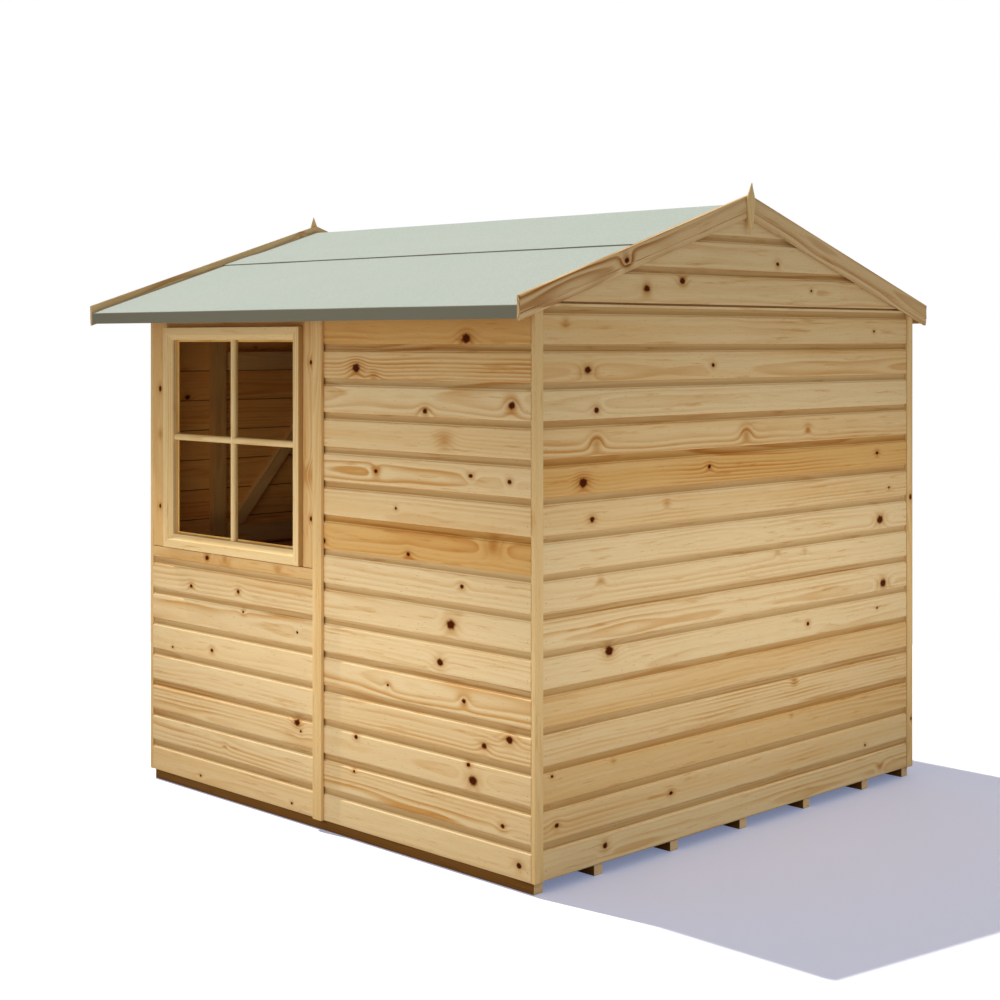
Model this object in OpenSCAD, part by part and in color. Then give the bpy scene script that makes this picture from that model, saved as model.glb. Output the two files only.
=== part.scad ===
// Wooden garden shed: a panel-built hut with shiplap walls, a felted apex roof that reaches
// forward as a canopy, one fixed window and a pair of doors in the front gable.
// The long sides run along Y. The window side is +X, the plain gable is +Y, the doors are at -Y.
// The origin is on the ground, in the middle of the footprint, under the middle bearer.

/* [Overall] */
// Width over the cladding of the two long sides
shed_w = 2016; // [1660:1:2450]
// Depth over the corner strips of the two gables
shed_d = 1972; // [1920:1:2450]
// Height of the ridge above the ground
ridge_h = 2068; // [2000:1:2500]
// Height of the wall panels' top edge above the ground
wall_top = 1722; // [1712:1:1850]

/* [Floor] */
// Height of each floor bearer
bearer_h = 36; // [24:1:60]
// Width of each floor bearer
bearer_w = 38; // [28:1:60]
// Distance between the middle lines of the inner bearers
bearer_pitch = 358; // [290:1:440]
// Thickness of the floor boards
deck_t = 11; // [9:1:20]

/* [Walls] */
// Thickness of the shiplap boards
clad_t = 12; // [9:0.5:18]
// Depth of the framing behind the long sides
side_frame_t = 24; // [20:1:40]
// Depth of the framing behind the gable walls
end_frame_t = 28; // [20:1:40]
// Width of every framing post and rail
frame_w = 28; // [24:1:44]
// Height of the middle rails above the ground
mid_rail_z = 866; // [700:1:1000]
// How far the corner strips stand out past the gable walls' cladding
corner_proud = 4; // [1:0.5:10]
// Width of the strips that cover the side panels' joints
joint_w = 46; // [34:1:60]
// Thickness of the strips that cover the side panels' joints
joint_t = 12; // [8:1:20]
// Space between two panels, and between boards that lie edge to edge
panel_gap = 2; // [1:0.5:4]
// Space between the wall panels and the gable triangles on top of them
gable_gap = 6.5; // [3:0.5:12]

/* [Window] */
// Width over the window frame
win_w = 788; // [600:1:800]
// Height over the window frame
win_h = 797; // [600:1:797]
// Height of the window frame's top edge above the ground
win_top = 1660; // [1580:1:1665]
// Distance from the front corner to the window frame
win_from_corner = 110; // [100:1:160]
// Width of the window frame's sides and top
win_rail = 45; // [35:1:60]
// Height of the window frame's bottom member
win_sill = 50; // [40:1:70]
// How far the window frame stands out from the cladding
win_proud = 20; // [12:1:30]
// Depth of the window frame
win_depth = 42; // [36:1:60]
// Thickness of the glass
glass_t = 4; // [3:0.5:6]
// Distance from the frame's front to the glass
glass_back = 31; // [12:1:34]
// Height of the plain board under the window
under_board_h = 38; // [25:1:60]

/* [Doors] */
// Width of the doorway between its posts
door_w = 1394; // [1100:1:1500]
// Height of the leaves' top edge above the ground
door_top = 1685; // [1600:1:1686]
// Running space round the leaves
door_gap = 5; // [5:0.5:8]
// Width of the door posts
door_post_w = 60; // [40:1:90]
// Width of the ledges that hold the door boards together
ledge_w = 70; // [50:1:90]
// Thickness of the ledges and braces
ledge_t = 28; // [18:1:28]
// Width of the braces, measured level
brace_w = 65; // [45:1:90]
// Distance from a brace's head to the leaf's free edge
brace_setback = 112; // [60:1:180]

/* [Hinges] */
// Radius of the hinge pins
pin_r = 3; // [2.5:0.1:4]
// Running clearance between a pin and its barrel
pin_play = 0.08; // [0.05:0.01:0.1]
// Outer radius of the barrels
barrel_r = 5.2; // [4.8:0.1:7]
// Height of a hinge
hinge_h = 62; // [50:1:90]
// Thickness of the hinge plates and straps
strap_t = 2.5; // [2:0.1:4]
// Length of the straps on the leaves
strap_l = 300; // [200:1:420]
// Height of a strap
strap_h = 32; // [24:1:45]

/* [Bolt] */
// Radius of the bolt's rod
bolt_r = 5; // [4:0.5:8]
// Length of the bolt's plate and rod
bolt_l = 120; // [90:1:180]
// Height of the bolt's plate
bolt_plate_h = 36; // [30:1:50]
// Length of each guide along the rod
bolt_guide_l = 16; // [10:1:25]
// Thickness of a guide round the rod
bolt_guide_t = 2.5; // [2:0.5:4]
// Length of the knob, from the rod's middle line
knob_l = 18; // [14:1:26]

/* [Roof] */
// Thickness of the roof boards, measured upright
roof_board_v = 10.5; // [8:0.5:16]
// Thickness of the felt, measured upright
felt_v = 2.6; // [2:0.1:4]
// How far the roof reaches past the long sides
eave_out = 75; // [50:1:110]
// How far the roof boards reach past the front corner strips
canopy_out = 279; // [120:1:400]
// Height of the felted band along the eaves
eave_band = 41; // [34:1:55]
// Width of the batten behind the felted band
eave_batten_w = 28; // [20:1:36]
// Level distance from the ridge to the edge of the ridge strip of felt
ridge_felt_x = 480; // [380:1:560]
// Level overlap of the ridge strip over the lower strips
felt_lap = 80; // [50:1:120]
// Thickness of the adhesive between two strips of felt
felt_bond = 0.3; // [0.2:0.1:0.6]
// Width of the purlins
purlin_w = 40; // [28:1:50]
// Height of the ridge purlin
ridge_purlin_h = 70; // [50:1:95]
// Height of the side purlins
side_purlin_h = 40; // [30:1:60]
// Level distance from the ridge to the side purlins
side_purlin_x = 500; // [400:1:600]

/* [Trim] */
// Height of the barge boards, measured upright
barge_h = 74; // [60:1:100]
// Thickness of the barge boards
barge_t = 13; // [9:0.5:18]
// How far the barge boards stand above the felt
barge_rise = 26; // [10:1:35]
// Height of each finial
finial_h = 169; // [120:1:220]
// Width of each finial at its widest
finial_w = 45; // [35:1:70]
// Thickness of each finial
finial_t = 14; // [9:0.5:20]
// Height of a finial's tip above the ridge
finial_rise = 64; // [45:1:90]

/* [Hidden] */
$fn = 48;

// Colours of the wood, the felt and the ironwork
pine = "burlywood";
pine_dark = "peru";
felt_colour = "lightslategray";
iron = "dimgray";

// Joints inside one sub-part: its members stop this far from each other
joint = 0.5;

// The walls, from outside to inside
half_w = shed_w / 2;
half_d = shed_d / 2;
side_in = half_w - clad_t;
side_frame_in = side_in - side_frame_t;
end_out = half_d - corner_proud;
end_in = end_out - clad_t;
end_frame_in = end_in - end_frame_t;
deck_top = bearer_h + deck_t;

// The roof's lines: a height over each level distance x from the ridge
slope = (ridge_h - felt_v - roof_board_v - wall_top - gable_gap) / half_w;
eave_x = half_w + eave_out;
function felt_z(x) = ridge_h - slope * abs(x);
function board_z(x) = felt_z(x) - felt_v;
function under_z(x) = board_z(x) - roof_board_v;
function under_x(z) = (under_z(0) - z) / slope;
band_bottom = felt_z(eave_x) - eave_band;
roof_front = -half_d - canopy_out;
roof_back = half_d;

// The window, in the front half of the +X side
win_y0 = -half_d + win_from_corner;
win_y1 = win_y0 + win_w;
win_z0 = win_top - win_h;
win_front = half_w + win_proud;
pane_y0 = win_y0 + win_rail;
pane_y1 = win_y1 - win_rail;
pane_z0 = win_z0 + win_sill;
pane_z1 = win_top - win_rail;
surround_z0 = win_z0 - 3;
under_board_z0 = surround_z0 - panel_gap - under_board_h;

// The doors, as the +X leaf; the other is its mirror image
leaf_x0 = door_gap * 0.8;
leaf_x1 = door_w / 2 - door_gap;
leaf_z0 = bearer_h + door_gap;
ledge_x0 = leaf_x0 + 8;
ledge_x1 = leaf_x1 - 8;
ledge_zs = [leaf_z0 + 89, mid_rail_z - 28, door_top - 185];
hinge_zs = [for (z = [ledge_zs[0], ledge_zs[2]]) z + (ledge_w - hinge_h) / 2];
pin_x = (leaf_x1 + door_w / 2) / 2;
pin_y = -end_out - barrel_r - 0.8;
knuckle_h = hinge_h / 3;
plate_x1 = door_w / 2 + 40;

// The bolt, level with the middle ledge
bolt_z = ledge_zs[1] + ledge_w / 2;
bolt_y = -end_out - strap_t - bolt_r - 1;
bolt_in = 8;

// A block between two corners
module block(low, high) {
    translate(low) cube(high - low);
}

// An outline drawn in X and Z, carried along Y from y0 to y1
module along_y(y0, y1, points) {
    translate([0, y1, 0]) rotate([90, 0, 0]) linear_extrude(y1 - y0) polygon(points);
}

// The children and their mirror image across the ridge
module both_sides() {
    children();
    mirror([1, 0, 0]) children();
}

// ---- Floor ----

module floor_bearers() {
    edge = side_in - bearer_w / 2;
    color(pine_dark)
        for (x = concat([-edge], [for (k = [-2:2]) k * bearer_pitch], [edge]))
            block([x - bearer_w / 2, -end_in, 0], [x + bearer_w / 2, end_in, bearer_h]);
}

module floor_deck() {
    color(pine) block([-side_in, -end_in, bearer_h], [side_in, end_in, deck_top]);
}

// ---- Cladding of the long sides, drawn at +X ----

module side_cladding(y0, y1, z0, z1) {
    color(pine) block([side_in, y0, z0], [half_w, y1, z1]);
}

module window_panel_cladding() side_cladding(-end_in, -panel_gap / 2, bearer_h, under_board_z0);

module window_surround_boards() {
    side_cladding(-end_in, win_y0, surround_z0, wall_top);
    side_cladding(win_y1, -panel_gap / 2, surround_z0, wall_top);
    side_cladding(win_y0 + panel_gap, win_y1 - panel_gap, win_top, wall_top);
    side_cladding(-end_in, -panel_gap / 2, under_board_z0, surround_z0 - panel_gap);
}

module window_side_rear_cladding() side_cladding(panel_gap / 2, end_in, bearer_h, wall_top);

module blind_side_front_cladding()
    mirror([1, 0, 0]) side_cladding(-end_in, -panel_gap / 2, bearer_h, wall_top);

module blind_side_rear_cladding()
    mirror([1, 0, 0]) side_cladding(panel_gap / 2, end_in, bearer_h, wall_top);

// ---- Framing of the long sides, drawn at +X ----

// The top rail carries the roof on its sloping top
module side_top_rail(y0, y1) {
    along_y(y0, y1, [[side_frame_in, under_z(side_in) - frame_w], [side_in, under_z(side_in) - frame_w],
        [side_in, under_z(side_in)], [side_frame_in, under_z(side_frame_in)]]);
}

// A rail from y0 to y1 with its underside at z
module side_rail(y0, y1, z) {
    block([side_frame_in, y0, z], [side_in, y1, z + frame_w]);
}

// Upright posts, each starting at one of ys
module side_posts(ys) {
    for (y = ys)
        block([side_frame_in, y, deck_top + frame_w + joint],
            [side_in, y + frame_w, under_z(side_in) - frame_w - joint]);
}

// Rails between neighbouring posts that start at ys
module side_noggins(ys, z) {
    for (i = [0:len(ys) - 2]) side_rail(ys[i] + frame_w + joint, ys[i + 1] - joint, z);
}

module side_panel_frame(y0, y1, ys) {
    side_rail(y0, y1, deck_top);
    side_top_rail(y0, y1);
    side_posts(ys);
}

// Starts of the posts of a panel without a window
function plain_posts(y0, y1) = [y0, (y0 + y1 - frame_w) / 2, y1 - frame_w];

module plain_side_frame(y0, y1) {
    side_panel_frame(y0, y1, plain_posts(y0, y1));
    side_noggins(plain_posts(y0, y1), mid_rail_z);
}

module window_side_frame() {
    jambs = [win_y0 - frame_w, win_y1];
    color(pine_dark) {
        side_panel_frame(-end_in, -panel_gap / 2, concat([-end_in], jambs, [-panel_gap / 2 - frame_w]));
        side_noggins(jambs, win_z0 - frame_w);
        side_noggins(jambs, win_top);
        plain_side_frame(panel_gap / 2, end_in);
    }
}

module blind_side_frame() {
    color(pine_dark) mirror([1, 0, 0]) {
        plain_side_frame(-end_in, -panel_gap / 2);
        plain_side_frame(panel_gap / 2, end_in);
    }
}

// ---- Window ----

module window_frame() {
    color(pine) difference() {
        block([win_front - win_depth, win_y0, win_z0], [win_front, win_y1, win_top]);
        block([win_front - win_depth - 1, pane_y0, pane_z0], [win_front + 1, pane_y1, pane_z1]);
    }
}

module window_glass() {
    color("lightcyan", 0.4)
        block([win_front - glass_back - glass_t, pane_y0, pane_z0], [win_front - glass_back, pane_y1, pane_z1]);
}

// ---- Gable walls, drawn at +Y ----

module end_cladding(x0, x1, z0, z1) {
    color(pine) block([x0, end_in, z0], [x1, end_out, z1]);
}

// The board triangle above a gable wall
module gable_triangle() {
    foot = wall_top + gable_gap;
    x = side_frame_in;
    color(pine) along_y(end_in, end_out,
        [[-x, foot], [x, foot], [x, under_z(x)], [0, under_z(0)], [-x, under_z(x)]]);
}

module rear_wall_cladding() end_cladding(-side_frame_in, side_frame_in, bearer_h, wall_top);

module rear_gable_cladding() gable_triangle();

module front_gable_cladding() mirror([0, 1, 0]) gable_triangle();

module front_wall_right_cladding()
    mirror([0, 1, 0]) end_cladding(door_w / 2, side_frame_in, bearer_h, wall_top);

module front_wall_left_cladding()
    mirror([0, 1, 0]) end_cladding(-side_frame_in, -door_w / 2, bearer_h, wall_top);

module door_header() mirror([0, 1, 0]) end_cladding(-door_w / 2, door_w / 2, door_top + door_gap, wall_top);

module end_rail(x0, x1, z) {
    block([x0, end_frame_in, z], [x1, end_in, z + frame_w]);
}

module end_post(x0, x1) {
    block([x0, end_frame_in, deck_top + frame_w + joint], [x1, end_in, wall_top - frame_w - joint]);
}

module rear_wall_frame() {
    x_end = side_frame_in;
    starts = [for (k = [0:4]) -x_end + k * (2 * x_end - frame_w) / 4];
    color(pine_dark) {
        end_rail(-x_end, x_end, deck_top);
        end_rail(-x_end, x_end, wall_top - frame_w);
        for (x = starts) end_post(x, x + frame_w);
        for (k = [0:3]) end_rail(starts[k] + frame_w + joint, starts[k + 1] - joint, mid_rail_z);
    }
}

module front_wall_frame() {
    post = door_w / 2;
    x_end = side_frame_in;
    color(pine_dark) mirror([0, 1, 0]) {
        end_rail(-x_end, x_end, wall_top - frame_w);
        both_sides() {
            end_rail(post, x_end, deck_top);
            end_post(post, post + door_post_w);
            end_post(x_end - frame_w, x_end);
            end_rail(post + door_post_w + joint, x_end - frame_w - joint, mid_rail_z);
        }
    }
}

// One gable's rail, with its ends cut to the roof, and two rafters that stand on it
module gable_frame() {
    x_end = side_frame_in;
    top = wall_top + frame_w;
    depth_v = frame_w * sqrt(1 + slope * slope);
    x_top = under_x(top);
    x_foot = under_x(top + joint);
    x_ridge = purlin_w / 2 + joint;
    along_y(end_frame_in, end_in, [[-x_end, wall_top], [x_end, wall_top], [x_end, under_z(x_end)],
        [x_top, top], [-x_top, top], [-x_end, under_z(x_end)]]);
    both_sides()
        along_y(end_frame_in, end_in, [[x_ridge, under_z(x_ridge)], [x_foot, top + joint],
            [x_foot - depth_v / slope, top + joint], [x_ridge, under_z(x_ridge) - depth_v]]);
}

module gable_frames() {
    color(pine_dark) {
        gable_frame();
        mirror([0, 1, 0]) gable_frame();
    }
}

// ---- Strips over the corners and the side panels' joints ----

module corner_strips() {
    color(pine) both_sides() {
        block([side_frame_in, end_in, bearer_h], [half_w, half_d, under_z(half_w)]);
        mirror([0, 1, 0]) block([side_frame_in, end_in, bearer_h], [half_w, half_d, under_z(half_w)]);
    }
}

module side_joint_strips() {
    color(pine) both_sides()
        block([half_w, -joint_w / 2, bearer_h], [half_w + joint_t, joint_w / 2, under_z(half_w + joint_t) - 2]);
}

// ---- Roof ----

// A slab that follows the roof's slope at +X, with its upper face drop below the felt's line
module slope_slab(x0, x1, y0, y1, drop, thick) {
    along_y(y0, y1, [[x0, felt_z(x0) - drop], [x1, felt_z(x1) - drop],
        [x1, felt_z(x1) - drop - thick], [x0, felt_z(x0) - drop - thick]]);
}

module roof_boards() {
    color(pine) slope_slab(0, eave_x - felt_v, roof_front, roof_back, felt_v, roof_board_v);
}

module window_side_roof() roof_boards();

module blind_side_roof() mirror([1, 0, 0]) roof_boards();

module roof_purlins() {
    x = purlin_w / 2;
    bottom = under_z(0) - ridge_purlin_h;
    color(pine_dark) {
        along_y(-end_in, end_in,
            [[-x, bottom], [x, bottom], [x, under_z(x)], [0, under_z(0)], [-x, under_z(x)]]);
        both_sides() slope_slab(side_purlin_x - x, side_purlin_x + x, -end_frame_in, end_frame_in,
            felt_v + roof_board_v, side_purlin_h);
    }
}

module eave_battens() {
    x1 = eave_x - felt_v;
    x0 = x1 - eave_batten_w;
    color(pine_dark) both_sides()
        along_y(roof_front, roof_back,
            [[x0, band_bottom], [x1, band_bottom], [x1, under_z(x1)], [x0, under_z(x0)]]);
}

// The lower strip of felt, folded down over the eaves batten
module lower_felt() {
    x0 = ridge_felt_x - felt_lap;
    x1 = eave_x - felt_v;
    color(felt_colour) along_y(roof_front, roof_back, [[x0, felt_z(x0)], [x0, board_z(x0)],
        [x1, board_z(x1)], [x1, band_bottom], [eave_x, band_bottom], [eave_x, felt_z(eave_x)]]);
}

module window_side_felt() lower_felt();

module blind_side_felt() mirror([1, 0, 0]) lower_felt();

// The strip over the ridge, bonded to the boards, steps up over the lower strips' edges
module ridge_felt() {
    edge = ridge_felt_x;
    lap = edge - felt_lap - felt_bond;
    step = lap - 2 * felt_v;
    half = [[lap, board_z(lap) + felt_bond], [lap, felt_z(lap) + felt_bond], [edge, felt_z(edge) + felt_bond],
        [edge, felt_z(edge) + felt_bond + felt_v], [lap - felt_v, felt_z(lap - felt_v) + felt_bond + felt_v],
        [step, felt_z(step)]];
    other = [for (i = [len(half) - 1:-1:0]) [-half[i].x, half[i].y]];
    color(felt_colour) along_y(roof_front, roof_back,
        concat([[0, board_z(0) + felt_bond]], half, [[0, felt_z(0)]], other));
}

// ---- Barge boards and finials ----

module barge_pair() {
    color(pine) for (y = [roof_back, roof_front - barge_t])
        slope_slab(0, eave_x, y, y + barge_t, -barge_rise, barge_h);
}

module window_side_barges() barge_pair();

module blind_side_barges() mirror([1, 0, 0]) barge_pair();

module finials() {
    tip = ridge_h + finial_rise;
    wide = ridge_h + 2;
    kite = [[0, tip], [finial_w / 2, wide], [0, tip - finial_h], [-finial_w / 2, wide]];
    color(pine) {
        along_y(roof_back + barge_t, roof_back + barge_t + finial_t, kite);
        along_y(roof_front - barge_t - finial_t, roof_front - barge_t, kite);
    }
}

// ---- Doors, drawn as the +X leaf ----

module leaf_boards() {
    color(pine) block([leaf_x0, -end_out, leaf_z0], [leaf_x1, -end_in, door_top]);
}

// Three ledges, and a brace from the hinge side of each lower one to the free side above it
module leaf_ledges() {
    back = -end_in + ledge_t;
    color(pine_dark) {
        for (z = ledge_zs) block([ledge_x0, -end_in, z], [ledge_x1, back, z + ledge_w]);
        for (i = [0, 1]) {
            z0 = ledge_zs[i] + ledge_w + joint;
            z1 = ledge_zs[i + 1] - joint;
            head = leaf_x0 + brace_setback;
            along_y(-end_in, back, [[ledge_x1 - brace_w, z0], [ledge_x1, z0], [head + brace_w, z1], [head, z1]]);
        }
    }
}

// A tapered strap with the middle knuckle of each hinge
module leaf_straps() {
    tail = pin_x - strap_l;
    color(iron) for (z = hinge_zs) {
        mid = z + hinge_h / 2;
        difference() {
            union() {
                along_y(-end_out - strap_t, -end_out, [[pin_x, mid - knuckle_h / 2 + joint],
                    [pin_x, mid + knuckle_h / 2 - joint], [leaf_x1 - 8, mid + knuckle_h / 2 - joint],
                    [leaf_x1 - 8, mid + strap_h / 2], [tail, mid + strap_h / 4], [tail - 8, mid],
                    [tail, mid - strap_h / 4], [leaf_x1 - 8, mid - strap_h / 2],
                    [leaf_x1 - 8, mid - knuckle_h / 2 + joint]]);
                translate([pin_x, pin_y, mid - knuckle_h / 2 + joint])
                    cylinder(r = barrel_r, h = knuckle_h - 2 * joint);
                block([pin_x - barrel_r, -end_out - barrel_r, mid - knuckle_h / 2 + joint],
                    [pin_x, -end_out, mid + knuckle_h / 2 - joint]);
            }
            translate([pin_x, pin_y, z]) cylinder(r = pin_r + pin_play, h = hinge_h);
        }
    }
}

// The fixed plate, with a knuckle above and below the strap's and the pin through all three
module wall_hinges() {
    for (z = hinge_zs) {
        block([pin_x + barrel_r + 1, -end_out - strap_t, z], [plate_x1, -end_out, z + hinge_h]);
        for (k = [0, 2]) {
            translate([pin_x, pin_y, z + k * knuckle_h]) cylinder(r = barrel_r, h = knuckle_h);
            block([pin_x, -end_out - barrel_r, z + k * knuckle_h],
                [pin_x + barrel_r + 2, -end_out - (door_gap / 10), z + (k + 1) * knuckle_h]);
        }
        translate([pin_x, pin_y, z]) cylinder(r = pin_r, h = hinge_h);
    }
}

module hinge_plates() color(iron) both_sides() wall_hinges();

module right_door_boards() leaf_boards();

module right_door_ledges() leaf_ledges();

module right_door_straps() leaf_straps();

module left_door_boards() mirror([1, 0, 0]) leaf_boards();

module left_door_ledges() mirror([1, 0, 0]) leaf_ledges();

module left_door_straps() mirror([1, 0, 0]) leaf_straps();

// The bolt's plate, from x0 to x1 on the outer face of a leaf
module bolt_plate(x0, x1) {
    block([x0, -end_out - strap_t, bolt_z - bolt_plate_h / 2], [x1, -end_out, bolt_z + bolt_plate_h / 2]);
}

// A guide that the bolt's rod slides in
module bolt_guide(x0, x1) {
    half_h = bolt_r + bolt_guide_t;
    block([x0, bolt_y - half_h, bolt_z - half_h], [x1, -end_out - strap_t, bolt_z + half_h]);
}

// A drawn-back tower bolt on the right leaf: a plate, two guides and the rod with its knob
module door_bolt() {
    x0 = leaf_x0 + bolt_in;
    x1 = x0 + bolt_l;
    color(iron) {
        bolt_plate(x0, x1);
        translate([x0, bolt_y, bolt_z]) rotate([0, 90, 0]) cylinder(r = bolt_r, h = bolt_l);
        for (x = [x0 + bolt_in, x1 - bolt_in - bolt_guide_l]) bolt_guide(x, x + bolt_guide_l);
        translate([(x0 + x1) / 2, bolt_y, bolt_z]) rotate([90, 0, 0]) cylinder(r = bolt_r - 1, h = knob_l);
    }
}

// The keeper for the bolt on the left leaf
module bolt_keeper() {
    x1 = -leaf_x0 - bolt_in;
    x0 = x1 - bolt_guide_l - 2 * bolt_in;
    color(iron) {
        bolt_plate(x0, x1);
        difference() {
            bolt_guide(x0 + bolt_in, x1 - bolt_in);
            translate([x0, bolt_y, bolt_z]) rotate([0, 90, 0]) cylinder(r = bolt_r + 0.5, h = x1 - x0);
        }
    }
}

floor_bearers();
floor_deck();
window_panel_cladding();
window_surround_boards();
window_side_rear_cladding();
window_side_frame();
window_frame();
window_glass();
blind_side_front_cladding();
blind_side_rear_cladding();
blind_side_frame();
rear_wall_cladding();
rear_wall_frame();
rear_gable_cladding();
front_wall_right_cladding();
front_wall_left_cladding();
door_header();
front_wall_frame();
front_gable_cladding();
gable_frames();
corner_strips();
side_joint_strips();
window_side_roof();
blind_side_roof();
roof_purlins();
eave_battens();
window_side_felt();
blind_side_felt();
ridge_felt();
window_side_barges();
blind_side_barges();
finials();
hinge_plates();
right_door_boards();
right_door_ledges();
right_door_straps();
door_bolt();
left_door_boards();
left_door_ledges();
left_door_straps();
bolt_keeper();
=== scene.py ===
# %% [markdown]
# # A wooden garden shed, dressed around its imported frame
#
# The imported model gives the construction: where every panel, frame, strip and hinge lies.
# This lesson gives each of them its looks. Walls become rows of shiplap boards, the roof gets its
# mineral felt, and every length of timber gets eased edges and a grain of its own.

import bpy
import numpy as np
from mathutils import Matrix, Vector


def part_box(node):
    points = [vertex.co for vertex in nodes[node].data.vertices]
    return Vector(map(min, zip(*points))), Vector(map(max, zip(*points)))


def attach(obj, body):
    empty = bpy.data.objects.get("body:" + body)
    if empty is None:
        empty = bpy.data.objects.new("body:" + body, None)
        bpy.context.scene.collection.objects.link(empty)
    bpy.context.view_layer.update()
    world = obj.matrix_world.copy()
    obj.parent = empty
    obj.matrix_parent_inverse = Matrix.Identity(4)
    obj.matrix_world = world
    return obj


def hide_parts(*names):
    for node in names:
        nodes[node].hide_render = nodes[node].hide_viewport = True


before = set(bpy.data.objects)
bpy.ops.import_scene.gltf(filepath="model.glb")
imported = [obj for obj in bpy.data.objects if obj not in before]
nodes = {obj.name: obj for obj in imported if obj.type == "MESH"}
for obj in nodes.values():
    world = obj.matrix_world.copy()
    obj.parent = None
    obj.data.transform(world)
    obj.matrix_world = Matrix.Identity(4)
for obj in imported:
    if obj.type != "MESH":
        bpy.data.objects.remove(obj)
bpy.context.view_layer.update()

# %% [markdown]
# ## Reading sizes from the frame
#
# Nothing here is measured twice. A node's box says where a plain panel lies, and its own corner
# points say how a roof slopes or where a rafter is cut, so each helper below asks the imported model.


# %% Boxes and separate solids
def box(node):
    """Lowest and highest corner of a CAD node, as arrays."""
    low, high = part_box(node)
    return np.array(low), np.array(high)


def solids(node):
    """The separate solids of a CAD node, each as an array of its corner points.

    Corners at one place are merged. Every triangle then gives its lowest label to its corners, again
    and again until nothing changes, and corners that share a label belong to one solid."""
    mesh = nodes[node].data
    places = np.empty(len(mesh.vertices) * 3)
    mesh.vertices.foreach_get("co", places)
    points, merged = np.unique(places.reshape(-1, 3).round(5), axis=0, return_inverse=True)
    triangles = np.empty(len(mesh.loops), dtype=int)
    mesh.loops.foreach_get("vertex_index", triangles)
    triangles = merged.ravel()[triangles].reshape(-1, 3)
    labels = np.arange(len(points))
    while True:
        spread = labels.copy()
        np.minimum.at(spread, triangles, labels[triangles].min(axis=1)[:, None])
        if (spread == labels).all():
            break
        labels = spread
    return [points[labels == label] for label in np.unique(labels)]


def height_over(node, x):
    """Top of a CAD node above the place x, read from its highest corners at that x."""
    points = np.concatenate(solids(node))
    return points[np.isclose(points[:, 0], x, atol=1e-4), 2].max()


eave_x = box("window_side_roof")[1][0]
roof_top = height_over("window_side_roof", 0.0)
roof_slope = (roof_top - height_over("window_side_roof", eave_x)) / eave_x
gable_apex = box("rear_gable_cladding")[1][2]
print(f"roof falls {roof_slope:.4f} m a metre, gable apex at {gable_apex:.3f} m")

# %% [markdown]
# ## The studio
#
# A garden building stands under a high sun and a pale sky. Here one sun lamp throws the shadow, the
# world gives soft light from all round, and both stay at a level where a colour looks as written.
# The background is white only for rays that go straight to it, so it adds no light to the shed.

# %% Camera, sun and sky
scene = bpy.context.scene
scene.view_settings.view_transform = "Standard"
EYE = (4.654, 4.503, 1.613)
EYE_TURN = 135.115
camera = bpy.data.objects.new("camera", bpy.data.cameras.new("camera"))
camera.location = EYE
camera.rotation_euler = np.radians((90.0, 0.0, EYE_TURN))
camera.data.lens = 63.0
camera.data.sensor_width = 36.0
camera.data.shift_y = -0.1595
scene.collection.objects.link(camera)
scene.camera = camera

SUN_RUN = np.array((-0.078, 0.563, -1.0))
sun = bpy.data.objects.new("sun", bpy.data.lights.new("sun", "SUN"))
sun.data.energy = 3.4
sun.data.angle = 0.012
sun.data.color = (1.0, 0.97, 0.92)
turn_x = np.arctan2(np.hypot(*SUN_RUN[:2]), -SUN_RUN[2])
turn_z = np.arctan2(SUN_RUN[1], SUN_RUN[0]) - np.pi / 2
sun.rotation_euler = (turn_x, 0.0, turn_z)
scene.collection.objects.link(sun)
print(f"sun stands {90 - np.degrees(turn_x):.0f} degrees high")


# %% Two low soft lamps
def soft_lamp(name, place, turn, power):
    """A long low lamp that shines level at a wall, turned about Z, and is itself out of every picture."""
    lamp = bpy.data.objects.new(name, bpy.data.lights.new(name, "AREA"))
    lamp.data.shape = "RECTANGLE"
    lamp.data.size = 2.4
    lamp.data.size_y = 0.3
    lamp.data.energy = power
    lamp.data.spread = np.radians(125)
    lamp.data.color = (0.96, 0.97, 1.0)
    lamp.location = place
    lamp.rotation_euler = np.radians((90.0, 0.0, turn))
    lamp.visible_camera = False
    lamp.visible_glossy = False
    lamp.visible_transmission = False
    scene.collection.objects.link(lamp)
    return lamp


soft_lamps = [
    soft_lamp("rear_soft_lamp", (0.0, 2.1, 0.75), 180.0, 5.2),
    soft_lamp("window_side_soft_lamp", (2.15, 0.0, 0.75), 90.0, 5.7),
]
print("soft lamps:", [lamp.name for lamp in soft_lamps])


# %% Node helpers
def feed(tree, socket, value):
    """Joins a socket to another one, or sets its plain value."""
    if isinstance(value, bpy.types.NodeSocket):
        tree.links.new(value, socket)
    else:
        socket.default_value = value


def dress(tree, sockets, feeds):
    """Feeds many sockets, given by name or number."""
    for name, value in feeds.items():
        feed(tree, sockets[name], value)


def add(tree, kind, feeds=None, **settings):
    """A new node, with its settings and with feeds given by input name or number."""
    made = tree.nodes.new(kind)
    for name, value in settings.items():
        setattr(made, name, value)
    dress(tree, made.inputs, feeds or {})
    return made


def calc(tree, operation, *values):
    """Result of a Math node on sockets or numbers."""
    return add(tree, "ShaderNodeMath", dict(enumerate(values)), operation=operation).outputs[0]


def fade(tree, value, low, high, start=0.0, end=1.0):
    """A soft step: start below low, end above high, and a smooth S between them."""
    feeds = {"Value": value, "From Min": low, "From Max": high, "To Min": start, "To Max": end}
    return add(tree, "ShaderNodeMapRange", feeds, interpolation_type="SMOOTHSTEP").outputs[0]


def stretch(tree, vector, factors):
    """A vector with each part multiplied by its own factor."""
    feeds = {0: vector, 1: factors}
    return add(tree, "ShaderNodeVectorMath", feeds, operation="MULTIPLY").outputs[0]


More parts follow.
